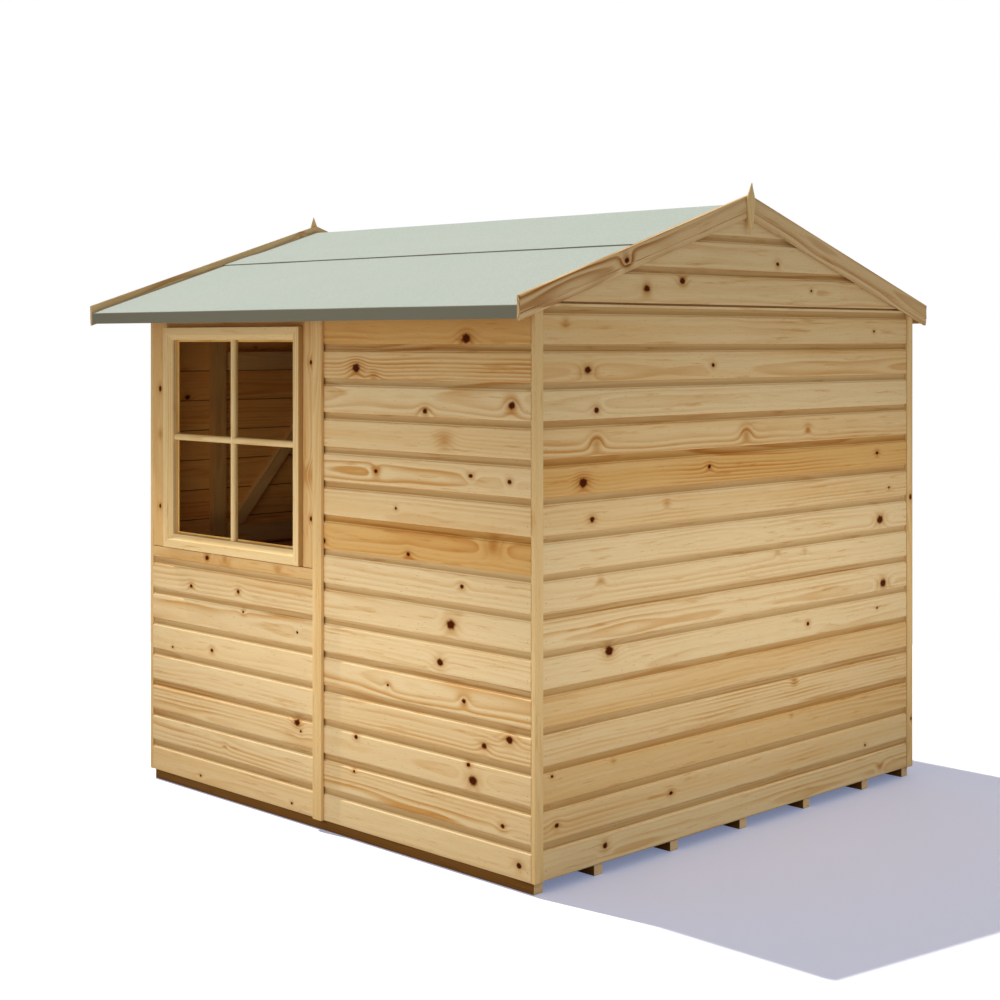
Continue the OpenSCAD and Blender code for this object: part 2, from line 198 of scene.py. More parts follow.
def noise(tree, vector, scale, detail=2.0):
    """Smooth noise around 0.5 over a vector."""
    feeds = {"Vector": vector, "Scale": scale, "Detail": detail, "Roughness": 0.55}
    return add(tree, "ShaderNodeTexNoise", feeds).outputs[0]


def mix(tree, factor, first, second, blend="MIX"):
    """Colour between first and second."""
    feeds = {0: factor, 6: first, 7: second}
    made = add(tree, "ShaderNodeMix", feeds, data_type="RGBA", blend_type=blend)
    return made.outputs[2]


def relief(tree, height, strength, distance):
    """Normal of a surface that has small heights on it."""
    feeds = {"Height": height, "Strength": strength, "Distance": distance}
    return add(tree, "ShaderNodeBump", feeds).outputs[0]


def object_place(tree):
    """The place of a point in its object, in metres."""
    return add(tree, "ShaderNodeTexCoord").outputs["Object"]


# %% Sky light and white background
SKY_LIGHT = (0.39, 0.38, 0.365, 1.0)
WHITE = (1.0, 1.0, 1.0, 1.0)
world = bpy.data.worlds.new("sky")
scene.world = world
world.use_nodes = True
sky = world.node_tree
sky.nodes.clear()
path = add(sky, "ShaderNodeLightPath")
seen = calc(sky, "MAXIMUM", path.outputs["Is Camera Ray"], path.outputs["Is Glossy Ray"])
seen = calc(sky, "MAXIMUM", seen, path.outputs["Is Transmission Ray"])
shade = add(sky, "ShaderNodeBackground", {0: mix(sky, seen, SKY_LIGHT, WHITE)})
feed(sky, add(sky, "ShaderNodeOutputWorld").inputs[0], shade.outputs[0])
print("sky is ready")

# %% [markdown]
# ## The floor
#
# The shed is shown on a plain pale floor, a round sheet that ends out of sight. It glows a little for
# rays that come straight from the camera and throws back less light than it seems to, so its shade
# stays pale and the foot of the walls stays in soft shade.


# %% Make a mesh from arrays, and the floor
def mesh_object(name, points, faces):
    """An object at the origin from an array of points and a list of faces."""
    mesh = bpy.data.meshes.new(name)
    mesh.from_pydata(points.tolist(), [], faces)
    made = bpy.data.objects.new(name, mesh)
    scene.collection.objects.link(made)
    return made


def new_material(name):
    """An empty material and its Principled shader, already joined to the output."""
    material = bpy.data.materials.new(name)
    material.use_nodes = True
    tree = material.node_tree
    tree.nodes.clear()
    shader = add(tree, "ShaderNodeBsdfPrincipled")
    feed(tree, add(tree, "ShaderNodeOutputMaterial").inputs[0], shader.outputs[0])
    return material, tree, shader


FLOOR_REACH = 3.5
FLOOR_BOUNCE = (0.42, 0.41, 0.40, 1.0)
around = np.linspace(0, 2 * np.pi, 96, endpoint=False)
rim = FLOOR_REACH * np.stack([np.cos(around), np.sin(around), np.zeros(96)], axis=-1)
floor = mesh_object("floor", rim, [tuple(range(96))])
floor_paint, floor_tree, floor_shader = new_material("floor")
speck = noise(floor_tree, object_place(floor_tree), 30.0)
floor_tone = mix(floor_tree, speck, (0.90, 0.89, 0.93, 1.0), (0.91, 0.90, 0.94, 1.0))
straight = add(floor_tree, "ShaderNodeLightPath").outputs["Is Camera Ray"]
floor_tone = mix(floor_tree, straight, FLOOR_BOUNCE, floor_tone)
glow = mix(floor_tree, straight, (0.0, 0.0, 0.0, 1.0), (0.135, 0.17, 0.28, 1.0))
floor_look = {"Base Color": floor_tone, "Emission Color": glow, "Emission Strength": 1.0}
floor_look |= {"Roughness": 0.9, "Specular IOR Level": 0.1}
dress(floor_tree, floor_shader.inputs, floor_look)
floor.data.materials.append(floor_paint)
unlit = bpy.data.collections.new("out of the soft lamps' light")
unlit.objects.link(floor)
unlit.collection_objects[0].light_linking.link_state = "EXCLUDE"
for lamp in soft_lamps:
    lamp.light_linking.receiver_collection = unlit
print("floor laid")

# %% [markdown]
# ## Pine
#
# Pine shows the rings of the tree it was sawn from. In the log they are cylinders round the pith, and
# a board is a flat cut through them: near the middle of its face they run out as pointed arches, at
# its sides as close lines. So each board carries a grain attribute, its place inside a log in metres
# (along, across, outwards), and the ring number is the distance from the log's middle. A knot is where
# a branch left the trunk: it is a dark plug, and the rings bulge round it.


# %% Knot group
def new_group(name, inputs, outputs):
    """An empty shader node group with named sockets."""
    group = bpy.data.node_groups.new(name, "ShaderNodeTree")
    for label, kind in inputs:
        group.interface.new_socket(label, in_out="INPUT", socket_type=kind)
    for label, kind in outputs:
        group.interface.new_socket(label, in_out="OUTPUT", socket_type=kind)
    return group, add(group, "NodeGroupInput").outputs, add(group, "NodeGroupOutput").inputs


VECTOR = "NodeSocketVector"
FLOAT = "NodeSocketFloat"
COLOR = "NodeSocketColor"


def knot_group():
    """One knot at (along, across) with its radius as the third part of Knot.

    The distance to it is shortened along the grain. The plug is dark within the radius, the halo is a
    bell curve a little wider, and the bend is another bell curve that pushes the rings outwards. A
    negative radius gives halo and bend without the plug, as over a branch that lies just below."""
    inputs = [("Grain", VECTOR), ("Knot", VECTOR)]
    outputs = [("Plug", FLOAT), ("Halo", FLOAT), ("Bend", FLOAT)]
    tree, given, result = new_group("knot", inputs, outputs)
    here = add(tree, "ShaderNodeSeparateXYZ", {0: given["Grain"]}).outputs
    knot = add(tree, "ShaderNodeSeparateXYZ", {0: given["Knot"]}).outputs
    along = calc(tree, "MULTIPLY", calc(tree, "SUBTRACT", here[0], knot[0]), 0.78)
    across = calc(tree, "SUBTRACT", here[1], knot[1])
    square = calc(tree, "MULTIPLY_ADD", along, along, calc(tree, "MULTIPLY", across, across))
    ragged = calc(tree, "MULTIPLY_ADD", noise(tree, given["Grain"], 90.0, 1.0), 0.7, 0.65)
    distance = calc(tree, "SQRT", square)
    radius = calc(tree, "ABSOLUTE", knot[2])
    inner = calc(tree, "MULTIPLY", radius, 0.62)
    outer = calc(tree, "MULTIPLY", radius, 1.30)
    plug = fade(tree, calc(tree, "MULTIPLY", distance, ragged), inner, outer, 1.0, 0.0)
    above = calc(tree, "GREATER_THAN", knot[2], 0.0)

    def bell(width, base):
        """exp of minus the squared distance over a width that grows with the knot."""
        reach = calc(tree, "MULTIPLY_ADD", radius, width, base)
        share = calc(tree, "DIVIDE", distance, reach)
        return calc(tree, "EXPONENT", calc(tree, "MULTIPLY", calc(tree, "MULTIPLY", share, share), -1.0))

    there = calc(tree, "MINIMUM", calc(tree, "MULTIPLY", radius, 160.0), 1.0)
    halo = calc(tree, "MULTIPLY", bell(1.7, 0.002), there)
    lift = calc(tree, "MULTIPLY", radius, 1.5)
    bend = calc(tree, "MULTIPLY", bell(1.9, 0.009), lift)
    plug = calc(tree, "MULTIPLY", plug, above)
    dress(tree, result, {"Plug": plug, "Halo": halo, "Bend": bend})
    return tree


knot_nodes = knot_group()
print("group", knot_nodes.name)


# %% Pine group
# Painted shade: the colour a board is multiplied by at the foot of its scoop and on the window frame's
# outer sides.
SHADED = (0.53, 0.41, 0.25, 1.0)
SAWN_BACK = (0.96, 0.66, 0.36, 1.0)
# Painted shade in the joint between the chamfered backs of two boards.
PAINTED_JOINT_SHADE = (0.12, 0.07, 0.03, 1.0)


def pine_group():
    """Pine's colour, roughness and height from the grain place.

    Ring number = distance from the pith, bent by slow noise and by knots, over the ring's width. Late
    wood darkens slowly through a ring and ends at once. Tint runs from pale sapwood to orange heart.
    Painted shade: above 0 the shade and back value darkens the tone, most at the foot of a board's scoop
    and on the window frame's outer sides. At -1 it is the amber of a sawn back, at -2 painted shade in the
    joint where two backs meet."""
    inputs = [("Grain", VECTOR), ("Knot 1", VECTOR), ("Knot 2", VECTOR), ("Knot 3", VECTOR)]
    inputs += [("Tint", FLOAT), ("Shade And Back", FLOAT), ("Pale", COLOR), ("Deep", COLOR), ("Late", COLOR)]
    inputs += [("Ring Width", FLOAT), ("Figure", FLOAT)]
    outputs = [("Color", COLOR), ("Roughness", FLOAT), ("Height", FLOAT)]
    tree, given, result = new_group("pine", inputs, outputs)
    grain = given["Grain"]
    parts = [add(tree, "ShaderNodeGroup", node_tree=knot_nodes) for _ in range(3)]
    for number, part in enumerate(parts, 1):
        dress(tree, part.inputs, {"Grain": grain, "Knot": given[f"Knot {number}"]})

    def joined(output, operation):
        """One output of the three knots, taken together."""
        first = calc(tree, operation, parts[0].outputs[output], parts[1].outputs[output])
        return calc(tree, operation, first, parts[2].outputs[output])

    plug = joined("Plug", "MAXIMUM")
    halo = joined("Halo", "MAXIMUM")
    bend = joined("Bend", "ADD")
    here = add(tree, "ShaderNodeSeparateXYZ", {0: grain}).outputs

    def drift(factors, amount, detail=2.0):
        """Noise stretched along the grain, swinging to both sides of zero."""
        swing = calc(tree, "SUBTRACT", noise(tree, stretch(tree, grain, factors), 1.0, detail), 0.5)
        return calc(tree, "MULTIPLY", swing, amount)

    deep = calc(tree, "ADD", here[2], drift((0.9, 0.0, 0.0), 0.07, 2.0))
    square = calc(tree, "MULTIPLY_ADD", here[1], here[1], calc(tree, "MULTIPLY", deep, deep))
    radius = calc(tree, "ADD", calc(tree, "SQRT", square), bend)
    radius = calc(tree, "ADD", radius, drift((1.3, 9.0, 9.0), 0.014))
    radius = calc(tree, "ADD", radius, drift((6.0, 60.0, 60.0), 0.0022))
    rings = calc(tree, "DIVIDE", radius, given["Ring Width"])
    place = calc(tree, "FRACT", rings)
    late = calc(tree, "MULTIPLY", fade(tree, place, 0.10, 0.80), fade(tree, place, 0.80, 1.0, 1.0, 0.0))
    number = calc(tree, "FLOOR", rings)
    chance = add(tree, "ShaderNodeTexWhiteNoise", {"W": number}, noise_dimensions="1D").outputs[0]
    late = calc(tree, "MULTIPLY", late, calc(tree, "MULTIPLY_ADD", chance, 0.75, 0.25))
    patch = fade(tree, noise(tree, stretch(tree, grain, (1.5, 7.0, 7.0)), 1.0), 0.35, 0.68, 0.2, 1.0)
    patch = calc(tree, "MINIMUM", calc(tree, "ADD", patch, halo), 1.0)
    late = calc(tree, "MULTIPLY", calc(tree, "MULTIPLY", late, patch), given["Figure"])
    band = noise(tree, stretch(tree, grain, (0.8, 24.0, 24.0)), 1.0, 3.0)
    shift = calc(tree, "MULTIPLY_ADD", calc(tree, "SUBTRACT", band, 0.5), 0.9, given["Tint"])
    tone = mix(tree, fade(tree, shift, 0.0, 1.0), given["Pale"], given["Deep"])
    fibre = noise(tree, stretch(tree, grain, (14.0, 900.0, 900.0)), 1.0, 2.0)
    tone = mix(tree, fade(tree, fibre, 0.3, 0.75, 0.0, 0.35), tone, (0.84, 0.68, 0.48, 1.0), "MULTIPLY")
    tone = mix(tree, late, tone, given["Late"], "MULTIPLY")
    tone = mix(tree, calc(tree, "MULTIPLY", halo, 0.7), tone, (0.68, 0.45, 0.20, 1.0), "MULTIPLY")
    resin = noise(tree, stretch(tree, grain, (6.0, 75.0, 75.0)), 1.0, 3.0)
    tone = mix(tree, fade(tree, resin, 0.58, 0.76, 0.0, 0.6), tone, (0.74, 0.50, 0.24, 1.0), "MULTIPLY")
    speck = noise(tree, stretch(tree, grain, (40.0, 420.0, 420.0)), 1.0, 1.0)
    tone = mix(tree, fade(tree, speck, 0.70, 0.78, 0.0, 0.6), tone, (0.45, 0.22, 0.07, 1.0))
    core = noise(tree, grain, 420.0)
    knot_tone = mix(tree, core, (0.050, 0.005, 0.0003, 1.0), (0.10, 0.016, 0.001, 1.0))
    knot_tone = mix(tree, plug, (0.26, 0.085, 0.015, 1.0), knot_tone)
    tone = mix(tree, plug, tone, knot_tone)
    # Painted shade in the scoops and on the window frame's outer sides.
    tone = mix(tree, given["Shade And Back"], tone, SHADED, "MULTIPLY")
    back = calc(tree, "MULTIPLY", given["Shade And Back"], -1.0)
    tone = mix(tree, back, tone, SAWN_BACK, "MULTIPLY")
    # Painted shade on the chamfers of the backs, where the value is -2.
    tone = mix(tree, fade(tree, back, 1.0, 2.0), tone, PAINTED_JOINT_SHADE, "MULTIPLY")
    rough = calc(tree, "MULTIPLY_ADD", late, -0.12, 0.74)
    rough = calc(tree, "MULTIPLY_ADD", plug, -0.15, rough)
    ridge = calc(tree, "MULTIPLY_ADD", late, 0.5, calc(tree, "MULTIPLY", fibre, 0.6))
    ridge = calc(tree, "MULTIPLY_ADD", plug, 0.8, ridge)
    dress(tree, result, {"Color": tone, "Roughness": rough, "Height": ridge})
    return tree


pine_nodes = pine_group()
print("group", pine_nodes.name)

# %% [markdown]
# ## One material for each kind of timber
#
# All the timber is the same tree, but planed cladding is smoother and paler than sawn framing, and
# trims are picked for a straight grain. Each material places the pine group with its own values, and
# reads the grain, tint and knots that its boards carry.


# %% Timber materials
LATE_WOOD = (0.76, 0.53, 0.29, 1.0)


def timber_material(name, pale, deep, ring=0.0115, figure=1.0, bump=0.25, late=LATE_WOOD):
    """Pine with its own colours, width of rings, strength of figure and depth of texture."""
    material, tree, shader = new_material(name)
    pine = add(tree, "ShaderNodeGroup", node_tree=pine_nodes)
    places = {"grain": "Grain", "knot1": "Knot 1", "knot2": "Knot 2", "knot3": "Knot 3"}
    for attribute, socket in places.items():
        source = add(tree, "ShaderNodeAttribute", attribute_name=attribute)
        feed(tree, pine.inputs[socket], source.outputs["Vector"])
    # The second stored value carries painted shade and the marks of a board's back.
    stored = ("tint", "shade_and_back", "figure")
    sources = [add(tree, "ShaderNodeAttribute", attribute_name=name) for name in stored]
    tint, shade_and_back, shown = (source.outputs["Fac"] for source in sources)
    look = {"Tint": tint, "Shade And Back": shade_and_back, "Figure": calc(tree, "MULTIPLY", shown, figure)}
    look |= {"Pale": pale, "Deep": deep, "Late": late, "Ring Width": ring}
    dress(tree, pine.inputs, look)
    normal = relief(tree, pine.outputs["Height"], bump, 0.0006)
    surface = {"Base Color": pine.outputs["Color"], "Roughness": pine.outputs["Roughness"]}
    dress(tree, shader.inputs, surface | {"Normal": normal, "Specular IOR Level": 0.03})
    return material


SAPWOOD = (0.87, 0.672, 0.378, 1.0)
HEARTWOOD = (0.76, 0.46, 0.16, 1.0)
cladding_pine = timber_material("cladding_pine", SAPWOOD, HEARTWOOD, figure=1.1)
trim_pine = timber_material("trim_pine", (0.89, 0.675, 0.345, 1.0), (0.76, 0.49, 0.20, 1.0), 0.007, 0.8)
framing_pine = timber_material(
    "framing_pine", (0.70, 0.44, 0.20, 1.0), (0.60, 0.34, 0.12, 1.0), 0.006, 0.8, 0.6
)
roof_pine = timber_material("roof_pine", (0.78, 0.59, 0.34, 1.0), (0.67, 0.42, 0.18, 1.0))
floor_pine = timber_material("floor_pine", (0.76, 0.57, 0.33, 1.0), (0.66, 0.42, 0.19, 1.0))
print("timber materials:", [m.name for m in bpy.data.materials if m.name.endswith("_pine")])

# %% [markdown]
# ## From rings to timber
#
# A board, a rafter and a glazing bar are all one outline carried along a line. Each is written as a
# stack of rings, an array (stations, points round the ring, 3): neighbouring rings are joined by quads
# and the two ends are closed. Many boards of one wall then become one object.


# %% Close rings into faces
def closed(rings):
    """Points and faces of one closed piece from its rings.

    The volume inside is a sixth of the sum of a . (b x c) over the triangles. If it comes out negative
    the faces look inwards, and every ring is turned round."""
    stations, around = rings.shape[:2]
    index = np.arange(stations * around).reshape(stations, around)
    ahead = np.roll(index, -1, axis=1)
    quads = np.stack([index[:-1], ahead[:-1], ahead[1:], index[1:]], axis=-1).reshape(-1, 4)
    ends = [index[0, ::-1], index[-1]]
    points = rings.reshape(-1, 3) - rings.reshape(-1, 3).mean(axis=0)
    fans = [np.stack([np.full(around - 2, end[0]), end[1:-1], end[2:]], axis=-1) for end in ends]
    triangles = np.concatenate([quads[:, (0, 1, 2)], quads[:, (0, 2, 3)], *fans])
    a, b, c = points[triangles].transpose(1, 0, 2)
    if np.einsum("ij,ij->", a, np.cross(b, c)) < 0:
        quads = quads[:, ::-1]
        ends = [end[::-1] for end in ends]
    return rings.reshape(-1, 3), quads.tolist() + [end.tolist() for end in ends]


turned = np.array([[(0, 0, z), (1, 0, z), (1, 1, z), (0, 1, z)] for z in (1.0, 0.0)])
print("a turned box closes with", len(closed(turned)[1]), "faces")


# %% Grain for one board
def grained(rings, along, across, chance, tint=None, knots=(), knotty=0.0, shade_and_back=0.0, figure=None):
    """One piece of timber: its rings, and the log that it was sawn from.

    The grain place is the point measured along the board, across it and through it, moved by chance to
    another stretch of the log. knots are (along, across, radius) at their places on the shed, and up to
    three fit on a board, the largest first: knotty says how many a metre chance adds. figure is how
    strongly the rings show, and chance picks it too unless it is given."""
    points = rings.reshape(-1, 3)
    along = along / np.linalg.norm(along)
    through = np.cross(along, across)
    through /= np.linalg.norm(through)
    across = np.cross(through, along)
    place = points @ np.stack([along, across, through]).T
    middle = (place.min(axis=0) + place.max(axis=0)) / 2
    length, width = np.ptp(place, axis=0)[:2]
    log = np.array((chance.uniform(0, 60), chance.uniform(-0.5, 0.5) * width, chance.uniform(0.02, 0.07)))
    found = sorted(knots, key=lambda knot: -abs(knot[2]))[:3]
    wanted = min(3 - len(found), chance.poisson(knotty * length))
    for _ in range(wanted):
        u = middle[0] + length * chance.uniform(-0.45, 0.45)
        v = middle[1] + width * chance.uniform(-0.35, 0.35)
        found.append((u, v, chance.choice((-1, 1, 1)) * chance.uniform(0.003, 0.011)))
    found += [(0.0, 0.0, 0.0)] * (3 - len(found))
    shift = np.array((log[0] - middle[0], log[1] - middle[1], 0.0))
    tint = np.clip(chance.normal(0.22, 0.16), 0.0, 1.0) if tint is None else tint
    figure = 0.30 + 0.80 * (log[0] % 1.0) if figure is None else figure
    return {
        "rings": rings,
        "grain": place - middle + log,
        "knots": np.array(found) + shift * (np.array(found)[:, 2:] != 0),
        "tint": np.broadcast_to(tint, rings.shape[:2]).ravel(),
        "shade_and_back": np.broadcast_to(shade_and_back, rings.shape[:2]).ravel(),
        "figure": np.full(len(points), figure),
    }


# %% Join boards into one object
def finish(piece, material, body, replaced=()):
    """Smooth shading that keeps flats flat, the material and the body it rides on, and hides the CAD parts
    it replaces, if any.
    """
    piece.data.shade_smooth()
    piece.data.set_sharp_from_angle(angle=np.radians(38))
    weighted = piece.modifiers.new("flat faces stay flat", "WEIGHTED_NORMAL")
    weighted.keep_sharp = True
    piece.data.materials.append(material)
    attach(piece, body)
    if replaced:
        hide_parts(*replaced)
    print(piece.name, len(piece.data.polygons), "faces")
    return piece


def timber(name, boards, material, body, replaced=()):
    """All boards of one piece as one object, with grain, tint and knots stored on its points."""
    points, faces, count = [], [], 0
    for board in boards:
        spots, sides = closed(board["rings"])
        points.append(spots)
        faces += [[corner + count for corner in side] for side in sides]
        count += len(spots)
    piece = mesh_object(name, np.concatenate(points), faces)
    sizes = [len(spots) for spots in points]
    store(piece, "grain", "FLOAT_VECTOR", np.concatenate([board["grain"] for board in boards]))
    for number in range(3):
        knots = np.stack([board["knots"][number] for board in boards])
        store(piece, f"knot{number + 1}", "FLOAT_VECTOR", np.repeat(knots, sizes, axis=0))
    for value in ("tint", "shade_and_back", "figure"):
        store(piece, value, "FLOAT", np.concatenate([board[value] for board in boards]))
    return finish(piece, material, body, replaced)


def store(piece, name, kind, values):
    """Stores one value for each point of a piece."""
    attribute = piece.data.attributes.new(name, kind, "POINT")
    attribute.data.foreach_set("vector" if kind == "FLOAT_VECTOR" else "value", values.ravel())


# %% [markdown]
# ## Shiplap cladding
#
# Each wall is clad with shiplap: boards 112 mm apart, with a scoop along the top of each and a rebate
# behind its lower lip that laps the board below. The scoop throws the soft band between the rows. The
# outline could be a flat step with a painted shadow, but the real scoop catches light from the ground
# as well as the sky, so it is drawn as the cutter leaves it: a quarter of an ellipse. Its colour still
# carries painted shade as well, darkest at its foot.

# %% Outline of a shiplap board
COVER = 0.112
SCOOP_HEIGHT = 0.024
SCOOP_DEPTH = 0.007
LAP = 0.009
ARRIS = 0.004
LIP_HEIGHT = 0.007
TOP_HEIGHT = 0.0055
PLAY = 0.0004
BACK_CHAMFER = 0.0025
# Painted shade in the scoop covers points more than SHADE_START behind the face, and falls by SHADE_FADE
# from its foot to its top.
SHADE_START = 1.3 * ARRIS
SHADE_FADE = 0.62
END_GAP = 0.001
WALL_FIRST = 0.0857
GABLE_FIRST = 0.0915


def arc(steps, turn=np.pi / 2):
    """Angles from 0 to turn."""
    return np.linspace(0.0, turn, steps)


def shiplap_outline(low, face_top, thick, first):
    """Outline (height, outwards) of one board, anticlockwise from the back of its lower edge.

    Lip and top arris: a quarter ellipse each. Scoop: height = face top + H (1 - cos t), depth = D sin t.
    The tongue above the scoop lies behind the next board's lip, PLAY clear of it."""
    tongue = thick - SCOOP_DEPTH
    if first:
        foot = [(low, 0.0)]
    else:
        foot = [(low + LAP + BACK_CHAMFER, 0.0), (low + LAP, BACK_CHAMFER)]
        foot += [(low + LAP, tongue - PLAY), (low, tongue - PLAY)]
    far, near = 1 - np.cos(arc(6)), 1 - np.sin(arc(6))
    lip = np.stack([low + LIP_HEIGHT * far, thick - ARRIS * near], axis=-1)
    top = np.stack([face_top - TOP_HEIGHT * near, thick - ARRIS * far], axis=-1)
    start = np.arcsin(ARRIS / SCOOP_DEPTH)
    bow = np.linspace(start, np.pi / 2, 8)
    rise = SCOOP_HEIGHT * (np.cos(start) - np.cos(bow))
    scoop = np.stack([face_top + rise, thick - SCOOP_DEPTH * np.sin(bow)], axis=-1)
    crest = face_top + SCOOP_HEIGHT + LAP - PLAY
    head = [(crest, tongue), (crest, BACK_CHAMFER), (crest - BACK_CHAMFER, 0.0)]
    return np.concatenate([foot, lip, top, scoop[1:], head])


def rows(low, high, first_top):
    """Rows from low to high: (lower edge, top of the face, whether it is the first)."""
    face_tops = np.arange(low + first_top, high + COVER, COVER)
    lips = np.concatenate([[low], face_tops[:-1] + SCOOP_HEIGHT])
    return [(lip, top, n == 0) for n, (lip, top) in enumerate(zip(lips, face_tops)) if lip < high - 0.001]


print("board outline has", len(shiplap_outline(0.0, 0.088, 0.012, False)), "points")


# %% Lay a wall of shiplap
def outline_shade_and_back(height, out, face_top, thick):
    """Shade and back value of each outline point: painted shade of 1 at the foot of the scoop and less
    above it, -1 on the sawn back and -2 on the chamfers of the back, painted shade where they meet in the
    joint."""
    scoop = (height > face_top) & (out < thick - SHADE_START)
    climb = ((height - face_top) / SCOOP_HEIGHT).clip(0, 1)
    behind = np.where(out < 0.001, -1.0, -2.0)
    return np.where(out < BACK_CHAMFER + PLAY, behind, np.where(scoop, 1.0 - SHADE_FADE * climb, 0.0))


def facing(axis, side):
    """Place on a wall: (along, height, outwards from its back) to a point.

    axis is the wall's outward axis, 0 or 1, and side is +1 or -1."""

    def place(back, along, height, out):
        along, height, out = np.broadcast_arrays(along, height, out)
        flat = (back + side * out, along) if axis == 0 else (along, back + side * out)
        return np.stack([*flat, height], axis=-1)

    return place


def clad(node, axis, side, seed, joints=0.0, gable=False, knotty=0.0, knots=(), tints=(), figures=()):
    """Boards over a CAD panel's box, as a list for timber().

    joints is the height of the wall's foot, from which the rows are counted. On a gable each point of
    the outline is cut where the roof's slope crosses its own height. knots, tints and figures give
    values for some boards, by their number."""
    knots, tints, figures = dict(knots), dict(tints), dict(figures)
    low, high = box(node)
    chance = np.random.default_rng(seed)
    thick = high[axis] - low[axis]
    back = low[axis] if side > 0 else high[axis]
    start, end = low[1 - axis] + END_GAP, high[1 - axis] - END_GAP
    left, right = (start, end) if axis == 0 else (end, start)
    place = facing(axis, side)
    boards = []
    first_top = GABLE_FIRST if gable else WALL_FIRST + joints - low[2]
    for number, (foot, top, first) in enumerate(rows(low[2], high[2], first_top)):
        outline = shiplap_outline(foot, top, thick, first)
        outline[:, 0] = outline[:, 0].clip(low[2], high[2])
        height, out = outline.T
        reach = np.minimum(end, (gable_apex - height) / roof_slope) if gable else end
        begin = -reach if gable else start
        along = np.stack([np.broadcast_to(begin, len(height)), np.broadcast_to(reach, len(height))])
        rings = place(back, along, height, out)
        # Painted shade in the scoop, and marks for the sawn back and its chamfers.
        shade_and_back = outline_shade_and_back(height, out, top, thick)
        here = [
            (left + share * (right - left), foot + level * (top - foot), radius)
            for share, level, radius in knots.get(number, ())
        ]
        run = np.eye(3)[1 - axis]
        tint, figure = tints.get(number), figures.get(number)
        boards.append(grained(rings, run, (0, 0, 1), chance, tint, here, knotty, shade_and_back, figure))
    return boards


wall_low, wall_high = box("rear_wall_cladding")
FOOT = wall_low[2]
print("a wall has", len(rows(FOOT, wall_high[2], WALL_FIRST)), "rows")

# %% [markdown]
# ## Knots where the eye falls
#
# A wall of boards is remembered by its knots. On the window side, the rear wall and its gable they are
# given one by one, and elsewhere chance sets them. A wall's knots are listed by its boards, counted from
# the foot. Each is a share of the wall from its left end, as one faces it, a share of the board's height
# and a radius. A negative radius is a branch just under the face: a swirl without a dark plug.

# %% Knots of the window side, the rear wall and its gable
PIN, SMALL, MIDDLE, LARGE, GREAT = 0.0045, 0.007, 0.009, 0.0115, 0.015
REAR_KNOTS = {
    0: [(0.14, 0.6, MIDDLE), (0.91, 0.4, -SMALL)],
    1: [(0.03, 0.5, SMALL), (0.3, 0.5, SMALL), (0.86, 0.2, PIN)],
    2: [(0.02, 0.9, PIN), (0.16, 0.9, -PIN), (0.63, 0.9, -PIN)],
    3: [(0.64, 0.9, -SMALL)],
    5: [(0.15, 0.9, GREAT), (0.68, 0.5, SMALL), (0.9, 0.6, PIN)],
    6: [(0.92, 0.3, GREAT)],
    7: [(0.13, 0.8, -SMALL), (0.59, 0.9, -PIN), (0.67, 0.8, -PIN)],
    8: [(0.91, 0.4, GREAT)],
    9: [(0.11, 0.4, MIDDLE), (0.29, 0.7, -SMALL), (0.94, 0.4, PIN)],
    10: [(0.09, 0.4, GREAT), (0.4, 0.6, SMALL), (0.9, 0.6, SMALL)],
    11: [(0.12, 0.5, -LARGE), (0.5, 0.5, -LARGE), (0.68, 0.5, -SMALL)],
    12: [(0.12, 0.3, MIDDLE)],
    13: [(0.1, 0.4, LARGE), (0.41, 0.5, SMALL)],
    14: [(0.05, 0.7, -SMALL), (0.89, 0.5, PIN)],
}
GABLE_KNOTS = {
    0: [(0.24, 0.5, LARGE), (0.33, 0.8, LARGE), (0.69, 0.6, PIN)],
    1: [(0.59, 0.3, SMALL)],
}
WINDOW_WALL_KNOTS = {
    0: [(0.95, 0.5, MIDDLE)],
    1: [(0.18, 0.9, PIN), (0.88, 0.4, SMALL)],
    2: [(0.19, 0.9, SMALL), (0.73, 0.9, SMALL), (0.75, 0.4, GREAT)],
    3: [(0.8, 0.4, MIDDLE), (0.91, 0.8, LARGE)],
    4: [(0.35, 0.5, PIN), (0.71, 0.5, SMALL)],
    5: [(0.6, 0.4, LARGE)],
    6: [(0.65, 0.5, GREAT)],
    7: [(0.7, 0.6, SMALL)],
    8: [(0.02, 0.3, MIDDLE), (0.45, 0.2, SMALL), (0.84, 0.8, -GREAT)],
    9: [(0.39, 0.5, PIN)],
    10: [(0.29, 0.5, SMALL), (0.74, 0.6, SMALL), (0.91, 0.5, SMALL)],
    11: [(0.62, 0.5, -GREAT)],
    12: [(0.53, 0.2, MIDDLE), (0.92, 0.5, LARGE)],
    13: [(0.19, 0.4, GREAT), (0.28, 0.1, -MIDDLE)],
    14: [(0.72, 0.2, GREAT)],
}
WINDOW_PANEL_KNOTS = {
    0: [(0.31, 0.3, PIN), (0.85, 0.3, PIN)],
    1: [(0.46, 0.5, -PIN)],
    2: [(0.88, 0.9, LARGE), (0.9, 0.6, PIN)],
    4: [(0.13, 0.2, PIN), (0.38, 0.4, SMALL)],
    5: [(0.57, 0.9, PIN), (0.88, 0.5, PIN)],
    6: [(0.25, 0.3, SMALL), (0.54, 0.4, SMALL)],
}
set_knots = (REAR_KNOTS, GABLE_KNOTS, WINDOW_WALL_KNOTS, WINDOW_PANEL_KNOTS)
print("boards with knots set by eye:", sum(map(len, set_knots)))

